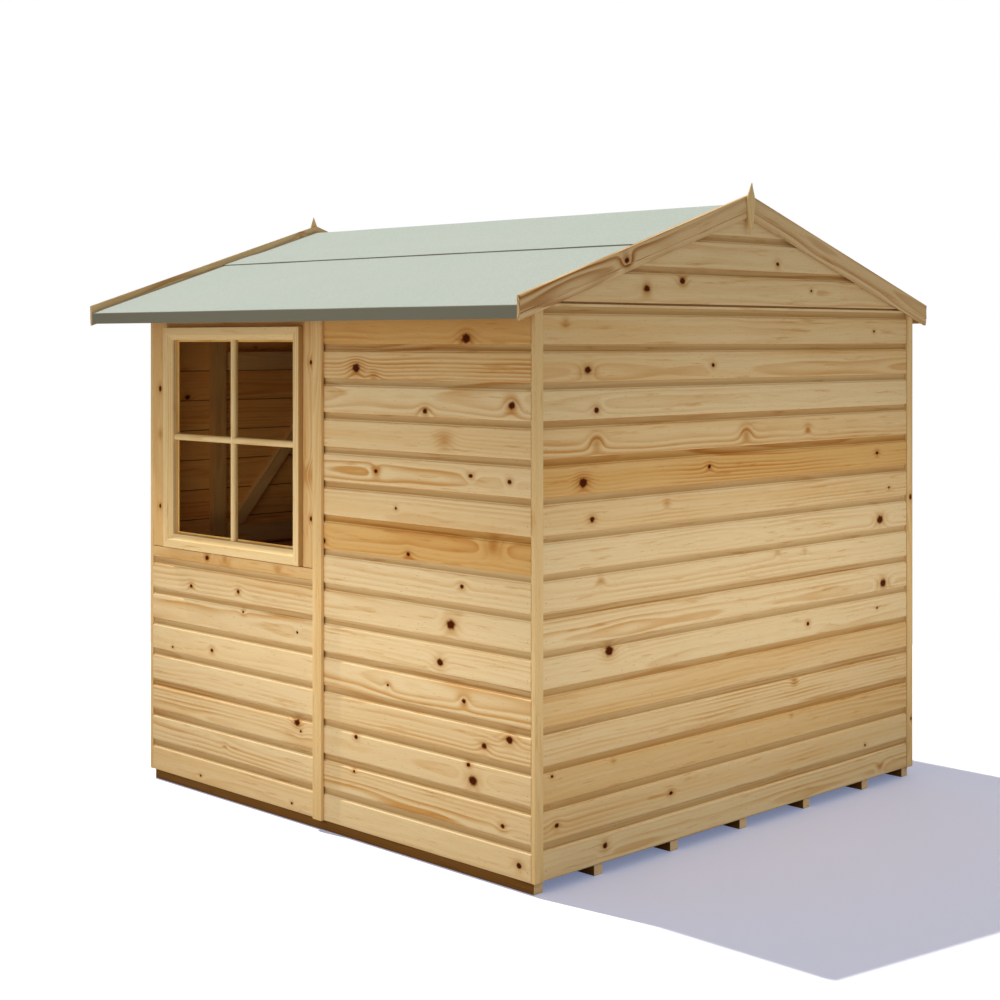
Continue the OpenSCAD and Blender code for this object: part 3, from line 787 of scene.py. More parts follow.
# %% Cladding of the four walls
WALLS = {
    "window_side_rear_cladding": (0, 1, 11, 0.0),
    "window_panel_cladding": (0, 1, 12, 0.0),
    "blind_side_front_cladding": (0, -1, 13, 1.6),
    "blind_side_rear_cladding": (0, -1, 14, 1.6),
    "rear_wall_cladding": (1, 1, 15, 0.0),
    "front_wall_right_cladding": (1, -1, 16, 1.4),
    "front_wall_left_cladding": (1, -1, 17, 1.4),
    "door_header": (1, -1, 18, 1.0),
}
GABLES = {"rear_gable_cladding": (1, 21, 0.0), "front_gable_cladding": (-1, 22, 1.5)}
CHOSEN = {
    "window_side_rear_cladding": {
        "knots": WINDOW_WALL_KNOTS,
        "tints": {4: 0.0, 5: 0.0, 6: 0.05, 8: 0.9, 9: 0.3, 11: 0.35, 13: 0.45, 14: 0.95},
        "figures": {
            0: 0.3, 1: 1.3, 2: 0.4, 3: 0.8, 4: 1.1, 5: 0.5, 6: 0.7, 7: 0.4,
            10: 1.2, 12: 1.2, 13: 1.3,
        },
    },
    "window_panel_cladding": {
        "knots": WINDOW_PANEL_KNOTS,
        "tints": {3: 0.15, 7: 0.45},
        "figures": {2: 1.1, 4: 0.6, 5: 1.0},
    },
    "rear_wall_cladding": {
        "knots": REAR_KNOTS,
        "tints": {6: 0.0, 7: 0.0, 9: 0.35, 10: 0.85, 11: 0.4, 12: 0.1, 13: 0.4},
        "figures": {
            1: 0.6, 3: 1.2, 5: 0.5, 8: 0.5, 9: 0.6, 10: 1.1,
            11: 1.4, 12: 0.4, 13: 0.7, 14: 0.6,
        },
    },
    "rear_gable_cladding": {
        "knots": GABLE_KNOTS,
        "tints": {0: 0.25, 1: 0.0, 2: 0.05, 3: 0.4},
    },
}
for node, (axis, side, seed, knotty) in WALLS.items():
    boards = clad(node, axis, side, seed, FOOT, knotty=knotty, **CHOSEN.get(node, {}))
    timber(f"{node}_boards", boards, cladding_pine, "root", [node])
for node, (side, seed, knotty) in GABLES.items():
    boards = clad(node, 1, side, seed, gable=True, knotty=knotty, **CHOSEN.get(node, {}))
    timber(f"{node}_boards", boards, cladding_pine, "root", [node])
for door, seed in (("right_door", 31), ("left_door", 32)):
    boards = clad(f"{door}_boards", 1, -1, seed, FOOT, knotty=1.6)
    timber(f"{door}_cladding", boards, cladding_pine, door, [f"{door}_boards"])

# %% [markdown]
# ## Eased timber
#
# Frames, strips, barge boards and floor bearers are plain lengths of planed or sawn wood. No planed
# edge is truly sharp: a pass of sandpaper rounds it by a millimetre, and that line of light is what
# makes wood look like wood. So each straight solid of the frame is read as an outline and a depth, and
# is rebuilt with its corners rounded and its ends chamfered.


# %% Eased prisms
def prism(points):
    """Outline ring (corners in order) and depth vector of a straight solid.

    The right axis is the longest one whose two end faces hold the same outline. The corners are ordered by
    their angle round the outline's middle."""
    for axis in np.argsort(-np.ptp(points, axis=0)):
        flat = [k for k in range(3) if k != axis]
        levels = points[:, axis]
        rings = []
        for level in (levels.min(), levels.max()):
            end = points[np.isclose(levels, level, atol=1e-4)]
            spread = end[:, flat] - end[:, flat].mean(axis=0)
            rings.append(end[np.argsort(np.arctan2(spread[:, 1], spread[:, 0]))])
        same = len(rings[0]) == len(rings[1]) == len(points) / 2
        if same and np.allclose(rings[0][:, flat], rings[1][:, flat], atol=2e-4):
            return rings[0], (levels.max() - levels.min()) * np.eye(3)[axis]
    raise ValueError("this solid is no straight prism")


def eased_ring(outline, ease, inset=0.0, steps=4):
    """Outline with each corner moved in by inset along both its edges, then rounded by ease.

    With a and b the unit vectors to the two neighbours, the arc is
    corner + ease ((1 - sin t) a + (1 - cos t) b) for t from 0 to a quarter turn."""
    before = np.roll(outline, 1, axis=0) - outline
    after = np.roll(outline, -1, axis=0) - outline
    before /= np.linalg.norm(before, axis=1, keepdims=True)
    after /= np.linalg.norm(after, axis=1, keepdims=True)
    corner = outline + inset * (before + after)
    turn = arc(steps)[None, :, None]
    ring = ease * ((1 - np.sin(turn)) * before[:, None] + (1 - np.cos(turn)) * after[:, None])
    return (corner[:, None] + ring).reshape(-1, 3)


def eased(points, ease=0.0015):
    """Rings of a straight solid with rounded edges and chamfered ends."""
    outline, depth = prism(points)
    step = ease * depth / np.linalg.norm(depth)
    full = eased_ring(outline, ease)
    small = eased_ring(outline, ease * 0.3, inset=ease * 0.9)
    return np.stack([small, full + step, full + depth - step, small + depth])


def longest(points):
    """Direction of the longest edge of a straight solid, and the widest direction across it."""
    outline, depth = prism(points)
    edges = np.concatenate([np.roll(outline, -1, axis=0) - outline, depth[None]])
    sizes = np.linalg.norm(edges, axis=1)
    along = edges[sizes.argmax()] / sizes.max()
    across = edges - (edges @ along)[:, None] * along
    return along, across[np.linalg.norm(across, axis=1).argmax()]


def knots_along(places, along, across):
    """Knots at (x, y, z, radius) as (along, across, radius), measured as the grain is."""
    along = along / np.linalg.norm(along)
    across = across - (across @ along) * along
    across /= np.linalg.norm(across)
    return [(np.dot(place[:3], along), np.dot(place[:3], across), place[3]) for place in places]


def eased_piece(node, material, slot, seed, body="root", ease=0.0015, knotty=0.5, tint=None, knots=()):
    """A CAD node's solids as eased timber, each with a grain along its longest edge.

    knots are (x, y, z, radius), and each board takes those that lie within its box."""
    chance = np.random.default_rng(seed)
    boards = []
    for points in solids(node):
        along, across = longest(points)
        low, high = points.min(axis=0) - 0.001, points.max(axis=0) + 0.001
        here = [knot for knot in knots if (low <= knot[:3]).all() and (knot[:3] <= high).all()]
        here = knots_along(here, along, across)
        boards.append(grained(eased(points, ease), along, across, chance, tint, here, knotty))
    return timber(f"{node}_timber", boards, material, body, [node])


# %% Frames, strips, battens and bearers
# Tint of the four rings along a bearer: pale at its sawn ends, and dark brown in between.
BEARER_RING_TINTS = np.array([[0.0], [1.0], [1.0], [0.0]])
SURROUND = box("window_surround_boards")
OPENING = box("window_frame")


def surround_knots():
    """Knots round the window, given one by one: shares down an upright board or along the board below it.
    """
    front, low = SURROUND[0][1:]
    face, rear = SURROUND[1][:2]
    height = OPENING[1][2] - OPENING[0][2]
    left, right = (front + OPENING[0][1]) / 2, (OPENING[1][1] + rear) / 2
    uprights = [(right, 0.15, SMALL), (right, 0.62, -GREAT), (right, 0.8, SMALL)]
    uprights += [(left, 0.28, MIDDLE), (left, 0.49, -MIDDLE), (left, 0.82, SMALL)]
    below = [(0.35, MIDDLE), (0.46, -MIDDLE), (0.77, -SMALL)]
    places = [(face, y, OPENING[1][2] - share * height, radius) for y, share, radius in uprights]
    level = (low + OPENING[0][2]) / 2
    return places + [(face, front + share * (rear - front), level, radius) for share, radius in below]


FRAMING = ["window_side_frame", "blind_side_frame", "rear_wall_frame"]
FRAMING += ["front_wall_frame", "gable_frames", "roof_purlins", "eave_battens"]
bearer_pine = timber_material(
    "bearer_pine", (0.80, 0.60, 0.35, 1.0), (0.215, 0.10, 0.024, 1.0), 0.008, 0.8, 0.6
)
eased_piece("floor_bearers", bearer_pine, "framing", 40, knotty=0.3, tint=BEARER_RING_TINTS)
for number, node in enumerate(FRAMING, 1):
    eased_piece(node, framing_pine, "framing", 40 + number)
for number, node in enumerate(("corner_strips", "side_joint_strips")):
    eased_piece(node, trim_pine, "pine_trim", 50 + number, ease=0.002, knotty=1.0, tint=0.5)
plain_boards = {"ease": 0.002, "knotty": 1.0, "tint": 0.65, "knots": surround_knots()}
eased_piece("window_surround_boards", cladding_pine, "pine_boards", 52, **plain_boards)
for door, seed in (("right_door", 65), ("left_door", 66)):
    eased_piece(f"{door}_ledges", framing_pine, "framing", seed, door, ease=0.003)

# %% [markdown]
# ## Barge boards and finials
#
# The roof's ends are trimmed with barge boards, moulded before they are cut: a groove runs along the
# lower third, and below it the face is planed back. A finial, a small carved spike, covers the mitre at
# the ridge. Both are outlines carried along a line, the barge from plumb cut to plumb cut and the
# finial upwards, where its outline swells and shrinks.


# %% Barge boards
def barge_outline(width, thick, arris=0.002):
    """Outline (upwards, outwards) of a barge board, from the back of its lower edge."""
    turn = arc(5)
    top = [width - arris * (1 - np.sin(turn)), thick - arris * (1 - np.cos(turn))]
    groove = width * 0.30
    lower = [(0, 0), (0, thick - 0.005), (0.0015, thick - 0.0035), (groove - 0.003, thick - 0.0012)]
    lower += [(groove - 0.0015, thick - 0.0032), (groove, thick - 0.0030), (groove + 0.0015, thick)]
    return np.concatenate([lower, np.stack(top, axis=-1)[::-1], [(width, 0)]])


def barge_rings(points):
    """Rings of one barge board. Each outline point runs from the ridge end to the eave end."""
    outline, depth = prism(points)
    side = np.sign(outline[:, 1].mean())
    back = points[:, 1].min() if side > 0 else points[:, 1].max()
    ordered = outline[np.argsort(np.abs(outline[:, 0]))]
    pairs = np.stack([pair[np.argsort(pair[:, 2])] for pair in (ordered[:2], ordered[2:])])
    width = pairs[0, 1, 2] - pairs[0, 0, 2]
    up, out = barge_outline(width, np.abs(depth[1])).T
    rings = pairs[:, :1] + (up / width)[:, None] * (pairs[:, 1:] - pairs[:, :1])
    rings[..., 1] = back + side * out
    return rings


BARGE_KNOT_SHARE = 0.57
BARGES = ["window_side_barges", "blind_side_barges"]
BARGE_LATE_WOOD = (0.56, 0.34, 0.17, 1.0)
barge_pine = timber_material(
    "barge_pine", (0.84, 0.64, 0.36, 1.0), (0.74, 0.46, 0.19, 1.0), 0.0095, 1.6, late=BARGE_LATE_WOOD
)
for seed, node in enumerate(BARGES, 60):
    chance = np.random.default_rng(seed)
    boards = []
    for points in solids(node):
        along, across = longest(points)
        middle = points.mean(axis=0)
        x = BARGE_KNOT_SHARE * points[:, 0].max()
        knot = middle + (x - middle[0]) * np.array([1.0, 0.0, -roof_slope])
        chosen = [(*knot, MIDDLE)] if middle[0] > 0 and middle[1] > 0 else []
        here = knots_along(chosen, along, across)
        boards.append(grained(barge_rings(points), along, across, chance, 0.3, here, 0.4))
    timber(f"{node}_timber", boards, barge_pine, "root", [node])


# %% Finials
def finial_rings(points, steps=12):
    """A spike with a long tail: rings of a six-sided section from the tail up to the point.

    Half width over the height share s: up to the shoulder it is W (0.1 + 0.9 (s / S)^0.7), and above it
    W (1 - t), with t the share of the spike. The depth is tapered at both ends in the same way."""
    low, high = points.min(axis=0), points.max(axis=0)
    side = np.sign(low[1])
    back, front = (low[1], high[1]) if side > 0 else (high[1], low[1])
    shoulder = 0.67
    tail = np.linspace(0, shoulder, steps // 2)
    spike = np.linspace(shoulder, 1, steps)[1:]
    share = np.concatenate([tail, spike])
    t = ((share - shoulder) / (1 - shoulder)).clip(0, 1)
    half = high[0] * np.where(t > 0, 0.97 * (1 - t) + 0.03, 0.1 + 0.9 * (share / shoulder) ** 0.7)
    depth = (front - back) * (0.35 + 0.65 * (share / 0.3).clip(0, 1)) * (1 - 0.8 * t)
    start = back + (front - back) * 0.4 * t
    corners = np.array([(-1, 0), (1, 0), (1, 0.35), (0.2, 1), (-0.2, 1), (-1, 0.35)])
    rings = np.empty((len(share), len(corners), 3))
    rings[..., 0] = half[:, None] * corners[:, 0]
    rings[..., 1] = start[:, None] + depth[:, None] * corners[:, 1]
    rings[..., 2] = (low[2] + share * (high[2] - low[2]))[:, None]
    return rings


chance = np.random.default_rng(63)
boards = [grained(finial_rings(points), (0, 0, 1), (1, 0, 0), chance, 0.15) for points in solids("finials")]
timber("finials_timber", boards, trim_pine, "root", ["finials"])

# %% [markdown]
# ## Floor and roof boards
#
# The floor and the roof are tongued boards laid edge to edge. From outside only their undersides show
# below the canopy, and the deck through the doors, and there the small V between two boards is what
# reads. Each board is an outline with its two show edges chamfered, carried across the building.


# %% Tongued boards
def tongued_outline(low, high, thick, show):
    """Outline (across, upwards) with a V of 1.5 mm on the show side: +1 is the top, -1 the underside."""
    v = 0.0015
    chamfered = [(low + PLAY, v), (low + PLAY + v, 0), (high - PLAY - v, 0), (high - PLAY, v)]
    square = [(high - PLAY, thick), (low + PLAY, thick)]
    outline = np.array(chamfered + square)
    if show > 0:
        outline[:, 1] = thick - outline[:, 1]
    return outline


def tongued(start, end, thick, show, ends, place, chance, run, width=0.094):
    """Boards from start to end across, each carried between two ends. place makes the points."""
    edges = np.linspace(start, end, round((end - start) / width) + 1)
    boards = []
    for low, high in zip(edges[:-1], edges[1:]):
        across, up = tongued_outline(low, high, thick, show).T
        rings = place(np.array(ends)[:, None], across, up)
        boards.append(grained(rings, run, (0, 1, 0), chance, knotty=1.2))
    return boards


low, high = box("floor_deck")


def deck_place(x, y, up):
    """A point of the deck: boards run along x."""
    return np.stack(np.broadcast_arrays(x, y, low[2] + up), axis=-1)


chance = np.random.default_rng(71)
boards = tongued(low[1], high[1], high[2] - low[2], 1, (low[0], high[0]), deck_place, chance, (1, 0, 0))
timber("floor_deck_boards", boards, floor_pine, "root", ["floor_deck"])

roof_low, roof_high = box("window_side_roof")
under_ridge = min(point[2] for point in solids("window_side_roof")[0] if abs(point[0]) < 1e-4)
roof_thick = roof_top - under_ridge


def roof_place(x, y, up):
    """A point of the roof: boards run from the ridge down to the eave, the same on both sides."""
    return np.stack(np.broadcast_arrays(x, y, under_ridge - roof_slope * np.abs(x) + up), axis=-1)


for side, name in ((1, "window_side_roof"), (-1, "blind_side_roof")):
    run = (side, 0, -roof_slope)
    ends = (0.0, side * eave_x)
    chance = np.random.default_rng(72 + side)
    boards = tongued(roof_low[1], roof_high[1], roof_thick, -1, ends, roof_place, chance, run)
    timber(f"{name}_boards", boards, roof_pine, "root", [name])

# %% [markdown]
# ## Roof felt
#
# The roof is covered with green mineral felt: bitumen sheet with crushed slate pressed into it. Two
# lengths run along the eaves and are folded down over the edge, and a third laps both along the
# ridge. Felt is soft, so it never lies dead flat. It is a grid: a path over the roof's outline, carried
# along the ridge, with slow ripples of under a millimetre.


# %% Felt material
def grit_group():
    """Crushed slate: two sizes of grains as a mask, and slow cloudy patches."""
    outputs = [("Grains", FLOAT), ("Cloud", FLOAT)]
    tree, given, result = new_group("grit", [("Place", VECTOR), ("Scale", FLOAT)], outputs)
    cells = add(tree, "ShaderNodeTexVoronoi", {"Vector": given["Place"], "Scale": given["Scale"]})
    grains = add(tree, "ShaderNodeSeparateColor", {0: cells.outputs["Color"]}).outputs[0]
    dress(tree, result, {"Grains": grains, "Cloud": noise(tree, given["Place"], 2.2, 4.0)})
    return tree


grit_nodes = grit_group()
felt_paint, felt_tree, felt_shader = new_material("mineral_felt")
grit = add(felt_tree, "ShaderNodeGroup", node_tree=grit_nodes)
dress(felt_tree, grit.inputs, {"Place": object_place(felt_tree), "Scale": 520.0})
felt_tone = mix(felt_tree, grit.outputs["Grains"], (0.355, 0.405, 0.360, 1.0), (0.47, 0.52, 0.47, 1.0))
cloud = fade(felt_tree, grit.outputs["Cloud"], 0.3, 0.7, 0.0, 0.5)
felt_tone = mix(felt_tree, cloud, felt_tone, (0.93, 0.94, 0.96, 1.0), "MULTIPLY")
bare = add(felt_tree, "ShaderNodeAttribute", attribute_name="bare").outputs["Fac"]
felt_tone = mix(felt_tree, bare, felt_tone, (0.225, 0.215, 0.155, 1.0))
felt_look = {"Base Color": felt_tone, "Roughness": 0.88, "Specular IOR Level": 0.25}
felt_look["Normal"] = relief(felt_tree, grit.outputs["Grains"], 0.35, 0.0008)
dress(felt_tree, felt_shader.inputs, felt_look)
print("felt is ready")


# %% Felt sheets
def felt_sheet(name, path, node, seed, ripple=0.0006):
    """A closed sheet over a path of (x, z, bare) points and carried along y.

    The top is the path, the underside the path moved in by the felt's thickness. Ripples are sums of
    slow sines along y, of a random phase for each, and only press the sheet down."""
    chance = np.random.default_rng(seed)
    low, high = box(node)
    y = np.linspace(low[1], high[1], 121)
    around = len(path)
    phase = chance.uniform(0, 2 * np.pi, (5, 1, 1))
    pace = chance.uniform(4, 22, (5, 1, 1))
    slant = chance.uniform(-6, 6, (5, 1, 1))
    waves = np.sin(pace * y[None, :, None] + slant * path[None, None, :, 0] + phase).mean(axis=0)
    press = ripple * (waves - waves.max())
    rings = np.empty((len(y), around, 3))
    rings[..., 0] = path[:, 0]
    rings[..., 1] = y[:, None]
    rings[..., 2] = path[:, 1] + press
    points, faces = closed(rings)
    piece = mesh_object(name, points, faces)
    store(piece, "bare", "FLOAT", np.tile(path[:, 2], len(y)))
    return finish(piece, felt_paint, "root", [node])


felt_thick = height_over("ridge_felt", 0.0) - roof_top
felt_top = height_over("ridge_felt", 0.0)
LAP_RISE = 0.0042
print(f"felt {felt_thick * 1000:.1f} mm thick")


def marked(points, bare):
    """Path points with a third column that says how bare of slate the felt is there."""
    points = np.array(points)
    return np.column_stack([points, np.full(len(points), bare)])


def eave_path(node):
    """(x, z, bare) outline of an eave felt: down the slope, over the fold and down the drip band."""
    low, high = box(node)
    side = np.sign(low[0] + high[0])
    outer, inner = (high[0], low[0]) if side > 0 else (-low[0], -high[0])
    fold = 0.004
    edge_z = felt_top - roof_slope * outer
    turn = arc(5)
    bend = np.stack([outer - fold + fold * np.sin(turn), edge_z - fold * (1 - np.cos(turn))], axis=-1)
    top_x = np.linspace(inner, outer - fold, 14)[:-1]
    top = np.stack([top_x, felt_top - roof_slope * top_x], axis=-1)
    thin = felt_thick * 0.9
    inside = [(outer - thin, low[2]), (outer - thin, edge_z - fold - thin * 0.3)]
    inside += [(inner, felt_top - roof_slope * inner - thin)]
    drip = np.concatenate([bend[2:], [(outer, low[2])], inside])
    path = np.concatenate([marked(top, 0.0), marked(bend[:2], 0.0), marked(drip, 1.0)])
    path[:, 0] *= side
    return path


def ridge_path(node):
    """(x, z, bare) outline of the ridge felt, from one lower edge over the rounded ridge to the other.

    Towards its edges it climbs by LAP_RISE on a smooth S, since there it lies on the eave felts."""
    reach = box(node)[1][0]
    slopes = np.linspace(0.02, reach, 12)
    x = np.concatenate([-slopes[::-1], np.linspace(-0.015, 0.015, 5), slopes])
    share = ((np.abs(x) - 0.6 * reach) / (0.2 * reach)).clip(0, 1)
    flat = felt_top - roof_slope * np.sqrt(x * x + 0.006**2)
    top = np.stack([x, flat + LAP_RISE * share * share * (3 - 2 * share)], axis=-1)
    cut = top[[-1, 0]] - (0.0, 0.0005)
    under = np.stack([x[::-1], flat[::-1] - felt_thick], axis=-1)
    return np.concatenate([marked(top, 0.0), marked(np.concatenate([cut[:1], under, cut[1:]]), 1.0)])


for seed, node in enumerate(("window_side_felt", "blind_side_felt"), 81):
    felt_sheet(f"{node}_sheet", eave_path(node), node, seed)
felt_sheet("ridge_felt_sheet", ridge_path("ridge_felt"), "ridge_felt", 83, 0.0004)

# %% [markdown]
# ## The window
#
# The window is fixed: a mitred frame stands proud of the boards, and bars cross the glass to make it
# look like four panes. The frame's outline has a flat face, a small step and a long chamfer towards
# the glass. It is carried along each side of the opening and cut at the corners where two sides meet.


# %% Window frame, bars and glass
def member(outline, start, end, wide_start, wide_end, place, width):
    """Rings of one side: outline (inwards 0 to 1, outwards), cut at each end by its neighbour's width."""
    inward, out = outline.T
    along = np.stack([start + inward * wide_start, end - inward * wide_end])
    return place(along, inward * width, out)


frame_low, frame_high = box("window_frame")
glass_low, glass_high = box("window_glass")
frame_deep = frame_high[0] - frame_low[0]
turn = arc(4)
round_edge = np.stack([0.05 * (1 - np.cos(turn)), frame_deep - 0.0022 * (1 - np.sin(turn))], axis=-1)
FRAME_OUTLINE = np.concatenate(
    [
        [(0.0, 0.0)],
        round_edge,
        [(0.60, frame_deep), (0.63, frame_deep - 0.0012), (0.66, frame_deep - 0.0035)],
        [(0.92, frame_deep - 0.0115), (0.97, frame_deep - 0.0125), (1.0, frame_deep - 0.014)],
        [(1.0, 0.0)],
    ]
)
wall_place = facing(0, 1)
sizes = {
    "front stile": glass_low[1] - frame_low[1],
    "rear stile": frame_high[1] - glass_high[1],
    "head": frame_high[2] - glass_high[2],
    "sill": glass_low[2] - frame_low[2],
}


def stile_place(edge, direction):
    """Upright side: along is height, inwards is towards the glass."""
    return lambda along, inward, out: wall_place(frame_low[0], edge + direction * inward, along, out)


def rail_place(edge, direction):
    """Level side: along is y, inwards is up from the sill or down from the head."""
    return lambda along, inward, out: wall_place(frame_low[0], along, edge + direction * inward, out)


chance = np.random.default_rng(91)
up_axis, wall_axis = (0, 0, 1), (0, 1, 0)
standing = (frame_low[2], frame_high[2], "sill", "head")
lying = (frame_low[1], frame_high[1], "front stile", "rear stile")
sides = [
    (*standing, stile_place(frame_low[1], 1), "front stile", up_axis, wall_axis),
    (*standing, stile_place(frame_high[1], -1), "rear stile", up_axis, wall_axis),
    (*lying, rail_place(frame_low[2], 1), "sill", wall_axis, up_axis),
    (*lying, rail_place(frame_high[2], -1), "head", wall_axis, up_axis),
]
# Painted shadow on the frame's outer sides, where it stands proud of the boards.
frame_side_shade = np.where(FRAME_OUTLINE[:, 0] < 0.001, 0.8, 0.0)
boards = []
for start, end, first, last, place, own, run, across in sides:
    rings = member(FRAME_OUTLINE, start, end, sizes[first], sizes[last], place, sizes[own])
    boards.append(grained(rings, run, across, chance, 0.1, shade_and_back=frame_side_shade))
timber("window_frame_timber", boards, trim_pine, "root", ["window_frame"])

# %% Glazing beads inside
BEAD = 0.007
bead_deep = glass_low[0] - frame_low[0]
turn = arc(5)
bead_outline = np.stack([np.sin(turn), bead_deep * (1 - np.cos(turn))], axis=-1)
bead_outline = np.concatenate([[(0.0, bead_deep)], bead_outline])
boards = []
for start, end, first, last, place, own, run, across in sides:
    inset = (start + sizes[first], end - sizes[last])
    rings = member(bead_outline, *inset, BEAD, BEAD, lambda u, v, w: place(u, v + sizes[own], w), BEAD)
    boards.append(grained(rings, run, across, chance, tint=0.2))
timber("glazing_beads", boards, trim_pine, "root")

BAR = 0.023
BAR_PROUD = 0.014
INNER_BAR_SHARE = 0.45
LEVEL_BAR_SHARE = 0.97
turn = arc(9, np.pi)
bow = np.stack([-0.5 * np.cos(turn), 0.25 + 0.75 * np.sin(turn)], axis=-1)
bar_outline = np.concatenate([[(-0.5, 0.0)], bow, [(0.5, 0.0)]]) * (BAR, BAR_PROUD)
glass_mid = (glass_low + glass_high) / 2
boards = []
ends = np.stack([glass_low, glass_high])[:, None]
across, out = bar_outline.T
for back, outwards in ((glass_high[0], 1), (glass_low[0], -INNER_BAR_SHARE)):
    upright = wall_place(back, glass_mid[1] + across, ends[..., 2], outwards * out)
    level = wall_place(back, ends[..., 1], glass_mid[2] + across, outwards * out * LEVEL_BAR_SHARE)
    boards.append(grained(upright, up_axis, wall_axis, chance, tint=0.1))
    boards.append(grained(level, wall_axis, up_axis, chance, tint=0.12))
timber("window_bars", boards, trim_pine, "root")


# %% Glass material
def glass_material():
    """Clear glass that lets the lamps' light through: for shadow and diffuse rays it is open.

    Those rays take on a warm tint that real glass doesn't have. It stands in for light that has met the
    room's pine many times, which a render cuts short."""
    material, tree, shader = new_material("window_glass")
    smear = fade(tree, noise(tree, object_place(tree), 9.0), 0.4, 0.8, 0.0, 0.03)
    look = {"Base Color": (0.96, 0.98, 0.97, 1.0), "Roughness": smear}
    dress(tree, shader.inputs, look | {"Transmission Weight": 1.0, "IOR": 1.03})
    route = add(tree, "ShaderNodeLightPath").outputs
    opened = calc(tree, "MAXIMUM", route["Is Shadow Ray"], route["Is Diffuse Ray"])
    clear = add(tree, "ShaderNodeBsdfTransparent", {0: (1.0, 0.92, 0.74, 1.0)})
    both = add(tree, "ShaderNodeMixShader", {0: opened, 1: shader.outputs[0], 2: clear.outputs[0]})
    output = next(node for node in tree.nodes if node.type == "OUTPUT_MATERIAL")
    feed(tree, output.inputs[0], both.outputs[0])
    return material


def repaint(node, material):
    """A CAD node that keeps its shape gets a material in each of its slots."""
    for place in nodes[node].material_slots:
        place.material = material


repaint("window_glass", glass_material())
print("window is glazed")

# %% [markdown]
# ## Ironwork
#
# The doors hang on black T hinges and close with a tower bolt, all of them pressed steel with a
# powder coat. The shapes come from the frame. Only the coat is new: nearly black, with a fine
# orange-peel surface and bare steel just showing where it is scratched.

# %% Black iron
iron, iron_tree, iron_shader = new_material("black_iron")
iron_place = object_place(iron_tree)
worn = fade(iron_tree, noise(iron_tree, iron_place, 60.0, 4.0), 0.62, 0.72)
iron_tone = mix(iron_tree, worn, (0.022, 0.022, 0.024, 1.0), (0.085, 0.08, 0.075, 1.0))
iron_look = {"Base Color": iron_tone, "Roughness": fade(iron_tree, worn, 0.0, 1.0, 0.42, 0.3)}
iron_look["Metallic"] = calc(iron_tree, "MULTIPLY", worn, 0.8)
iron_look["Normal"] = relief(iron_tree, noise(iron_tree, iron_place, 900.0), 0.2, 0.0003)
dress(iron_tree, iron_shader.inputs, iron_look)
for node in ("hinge_plates", "right_door_straps", "left_door_straps", "door_bolt", "bolt_keeper"):
    repaint(node, iron)
print("ironwork is coated")

# %% [markdown]
# ## Nails and screws
#
# A round nail holds each board at each stud behind it, and domed screws hold the hinges. A head is
# three rings of a cap, so one function makes both. The studs of the frame say where the nails go.


# %% Heads
HEAD_SUNK = 0.0002
NAIL_RISE = 0.03
WALL_MARGIN = 0.004


def heads(name, places, outwards, radius, rise, material, body, slot):
    """Low domes on a face that looks along outwards, all in one object.

    For a of 0, 36 and 72 degrees a ring lies R cos a from the middle and H sin a above the face."""
    outwards = np.array(outwards, dtype=float)
    across = np.roll(outwards, 1)
    around = np.linspace(0, 2 * np.pi, 10, endpoint=False)[None, :, None]
    lean = np.radians((0.0, 36.0, 72.0))[:, None, None]
    circle = np.cos(around) * across + np.sin(around) * np.cross(outwards, across)
    dome = radius * np.cos(lean) * circle + (rise * np.sin(lean) - HEAD_SUNK) * outwards
    points, faces = [], []
    for number, place in enumerate(places):
        spots, sides = closed(dome + place)
        points.append(spots)
        faces += [[corner + len(spots) * number for corner in side] for side in sides]
    return finish(mesh_object(name, np.concatenate(points), faces), material, body)


def nail_places(wall, studs_node):
    """A nail NAIL_RISE above each lip at each upright stud of a frame, on the wall's face."""
    axis, side = WALLS[wall][:2]
    low, high = box(wall)
    face = high[axis] if side > 0 else low[axis]
    studs = [points for points in solids(studs_node) if np.ptp(points[:, 2]) > 1.0]
    runs = [stud.mean(axis=0)[1 - axis] for stud in studs if np.ptp(stud[:, 1 - axis]) < 0.1]
    runs = [u for u in runs if low[1 - axis] + WALL_MARGIN < u < high[1 - axis] - WALL_MARGIN]
    lips = [lip for lip, top, first in rows(low[2], high[2], WALL_FIRST + FOOT - low[2])]
    spots = [(u, lip + NAIL_RISE) for u in runs for lip in lips if lip + NAIL_RISE < high[2]]
    return [(face, u, z) if axis == 0 else (u, face, z) for u, z in spots]


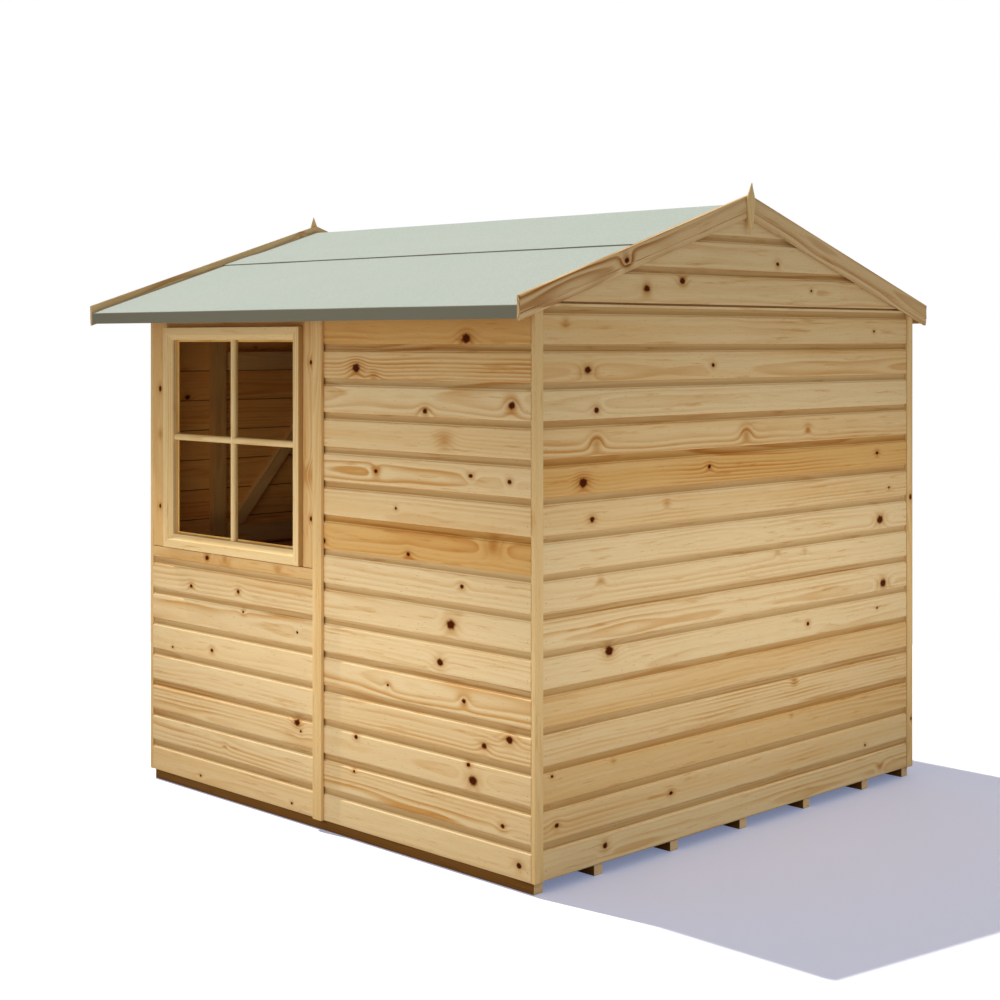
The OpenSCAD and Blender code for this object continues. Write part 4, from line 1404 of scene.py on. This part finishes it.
# %% Nails of the walls
NAIL_HEAD = (0.0022, 0.0004)
nail_steel, nail_tree, nail_shader = new_material("nail_steel")
dull = noise(nail_tree, object_place(nail_tree), 700.0)
nail_tone = mix(nail_tree, dull, (0.34, 0.28, 0.20, 1.0), (0.50, 0.45, 0.36, 1.0))
dress(nail_tree, nail_shader.inputs, {"Base Color": nail_tone, "Roughness": 0.55, "Metallic": 0.4})
STUDS = {
    (0, 1): "window_side_frame",
    (0, -1): "blind_side_frame",
    (1, 1): "rear_wall_frame",
    (1, -1): "front_wall_frame",
}
for wall in WALLS:
    if wall == "door_header":
        continue
    axis, side = WALLS[wall][:2]
    places = nail_places(wall, STUDS[axis, side])
    heads(f"{wall}_nails", places, side * np.eye(3)[axis], *NAIL_HEAD, nail_steel, "root", None)

# %% Screws of the hinges
SCREW_HEAD = (0.0042, 0.0016)
PLATE_EDGE = 0.014
PLATE_END = 0.012
BEYOND_PIN = 0.71
BEFORE_PIN = 0.66
STRAP_SCREWS = (0.42, 0.53, 0.65)


def plate_screws(plate):
    """Two screws in a hinge plate, near its outer edge and its upper and lower ends."""
    low, high = plate.min(axis=0), plate.max(axis=0)
    x = np.sign(low[0]) * (np.abs(plate[:, 0]).max() - PLATE_EDGE)
    face = plate[np.abs(plate[:, 0]) > BEYOND_PIN, 1].min()
    return [(x, face, low[2] + PLATE_END), (x, face, high[2] - PLATE_END)]


def strap_screws(strap):
    """Three screws along a strap's middle line, each at its distance from the middle of the doorway."""
    side = np.sign(strap[0, 0])
    middle = (strap[:, 2].min() + strap[:, 2].max()) / 2
    face = strap[np.abs(strap[:, 0]) < BEFORE_PIN, 1].min()
    return [(side * x, face, middle) for x in STRAP_SCREWS]


SCREWED = {
    "root": ("hinge_plates", plate_screws),
    "right_door": ("right_door_straps", strap_screws),
    "left_door": ("left_door_straps", strap_screws),
}
for body, (node, screws) in SCREWED.items():
    places = [place for piece in solids(node) for place in screws(piece)]
    heads(f"{body}_hinge_screws", places, (0, -1, 0), *SCREW_HEAD, iron, body, "black_iron")
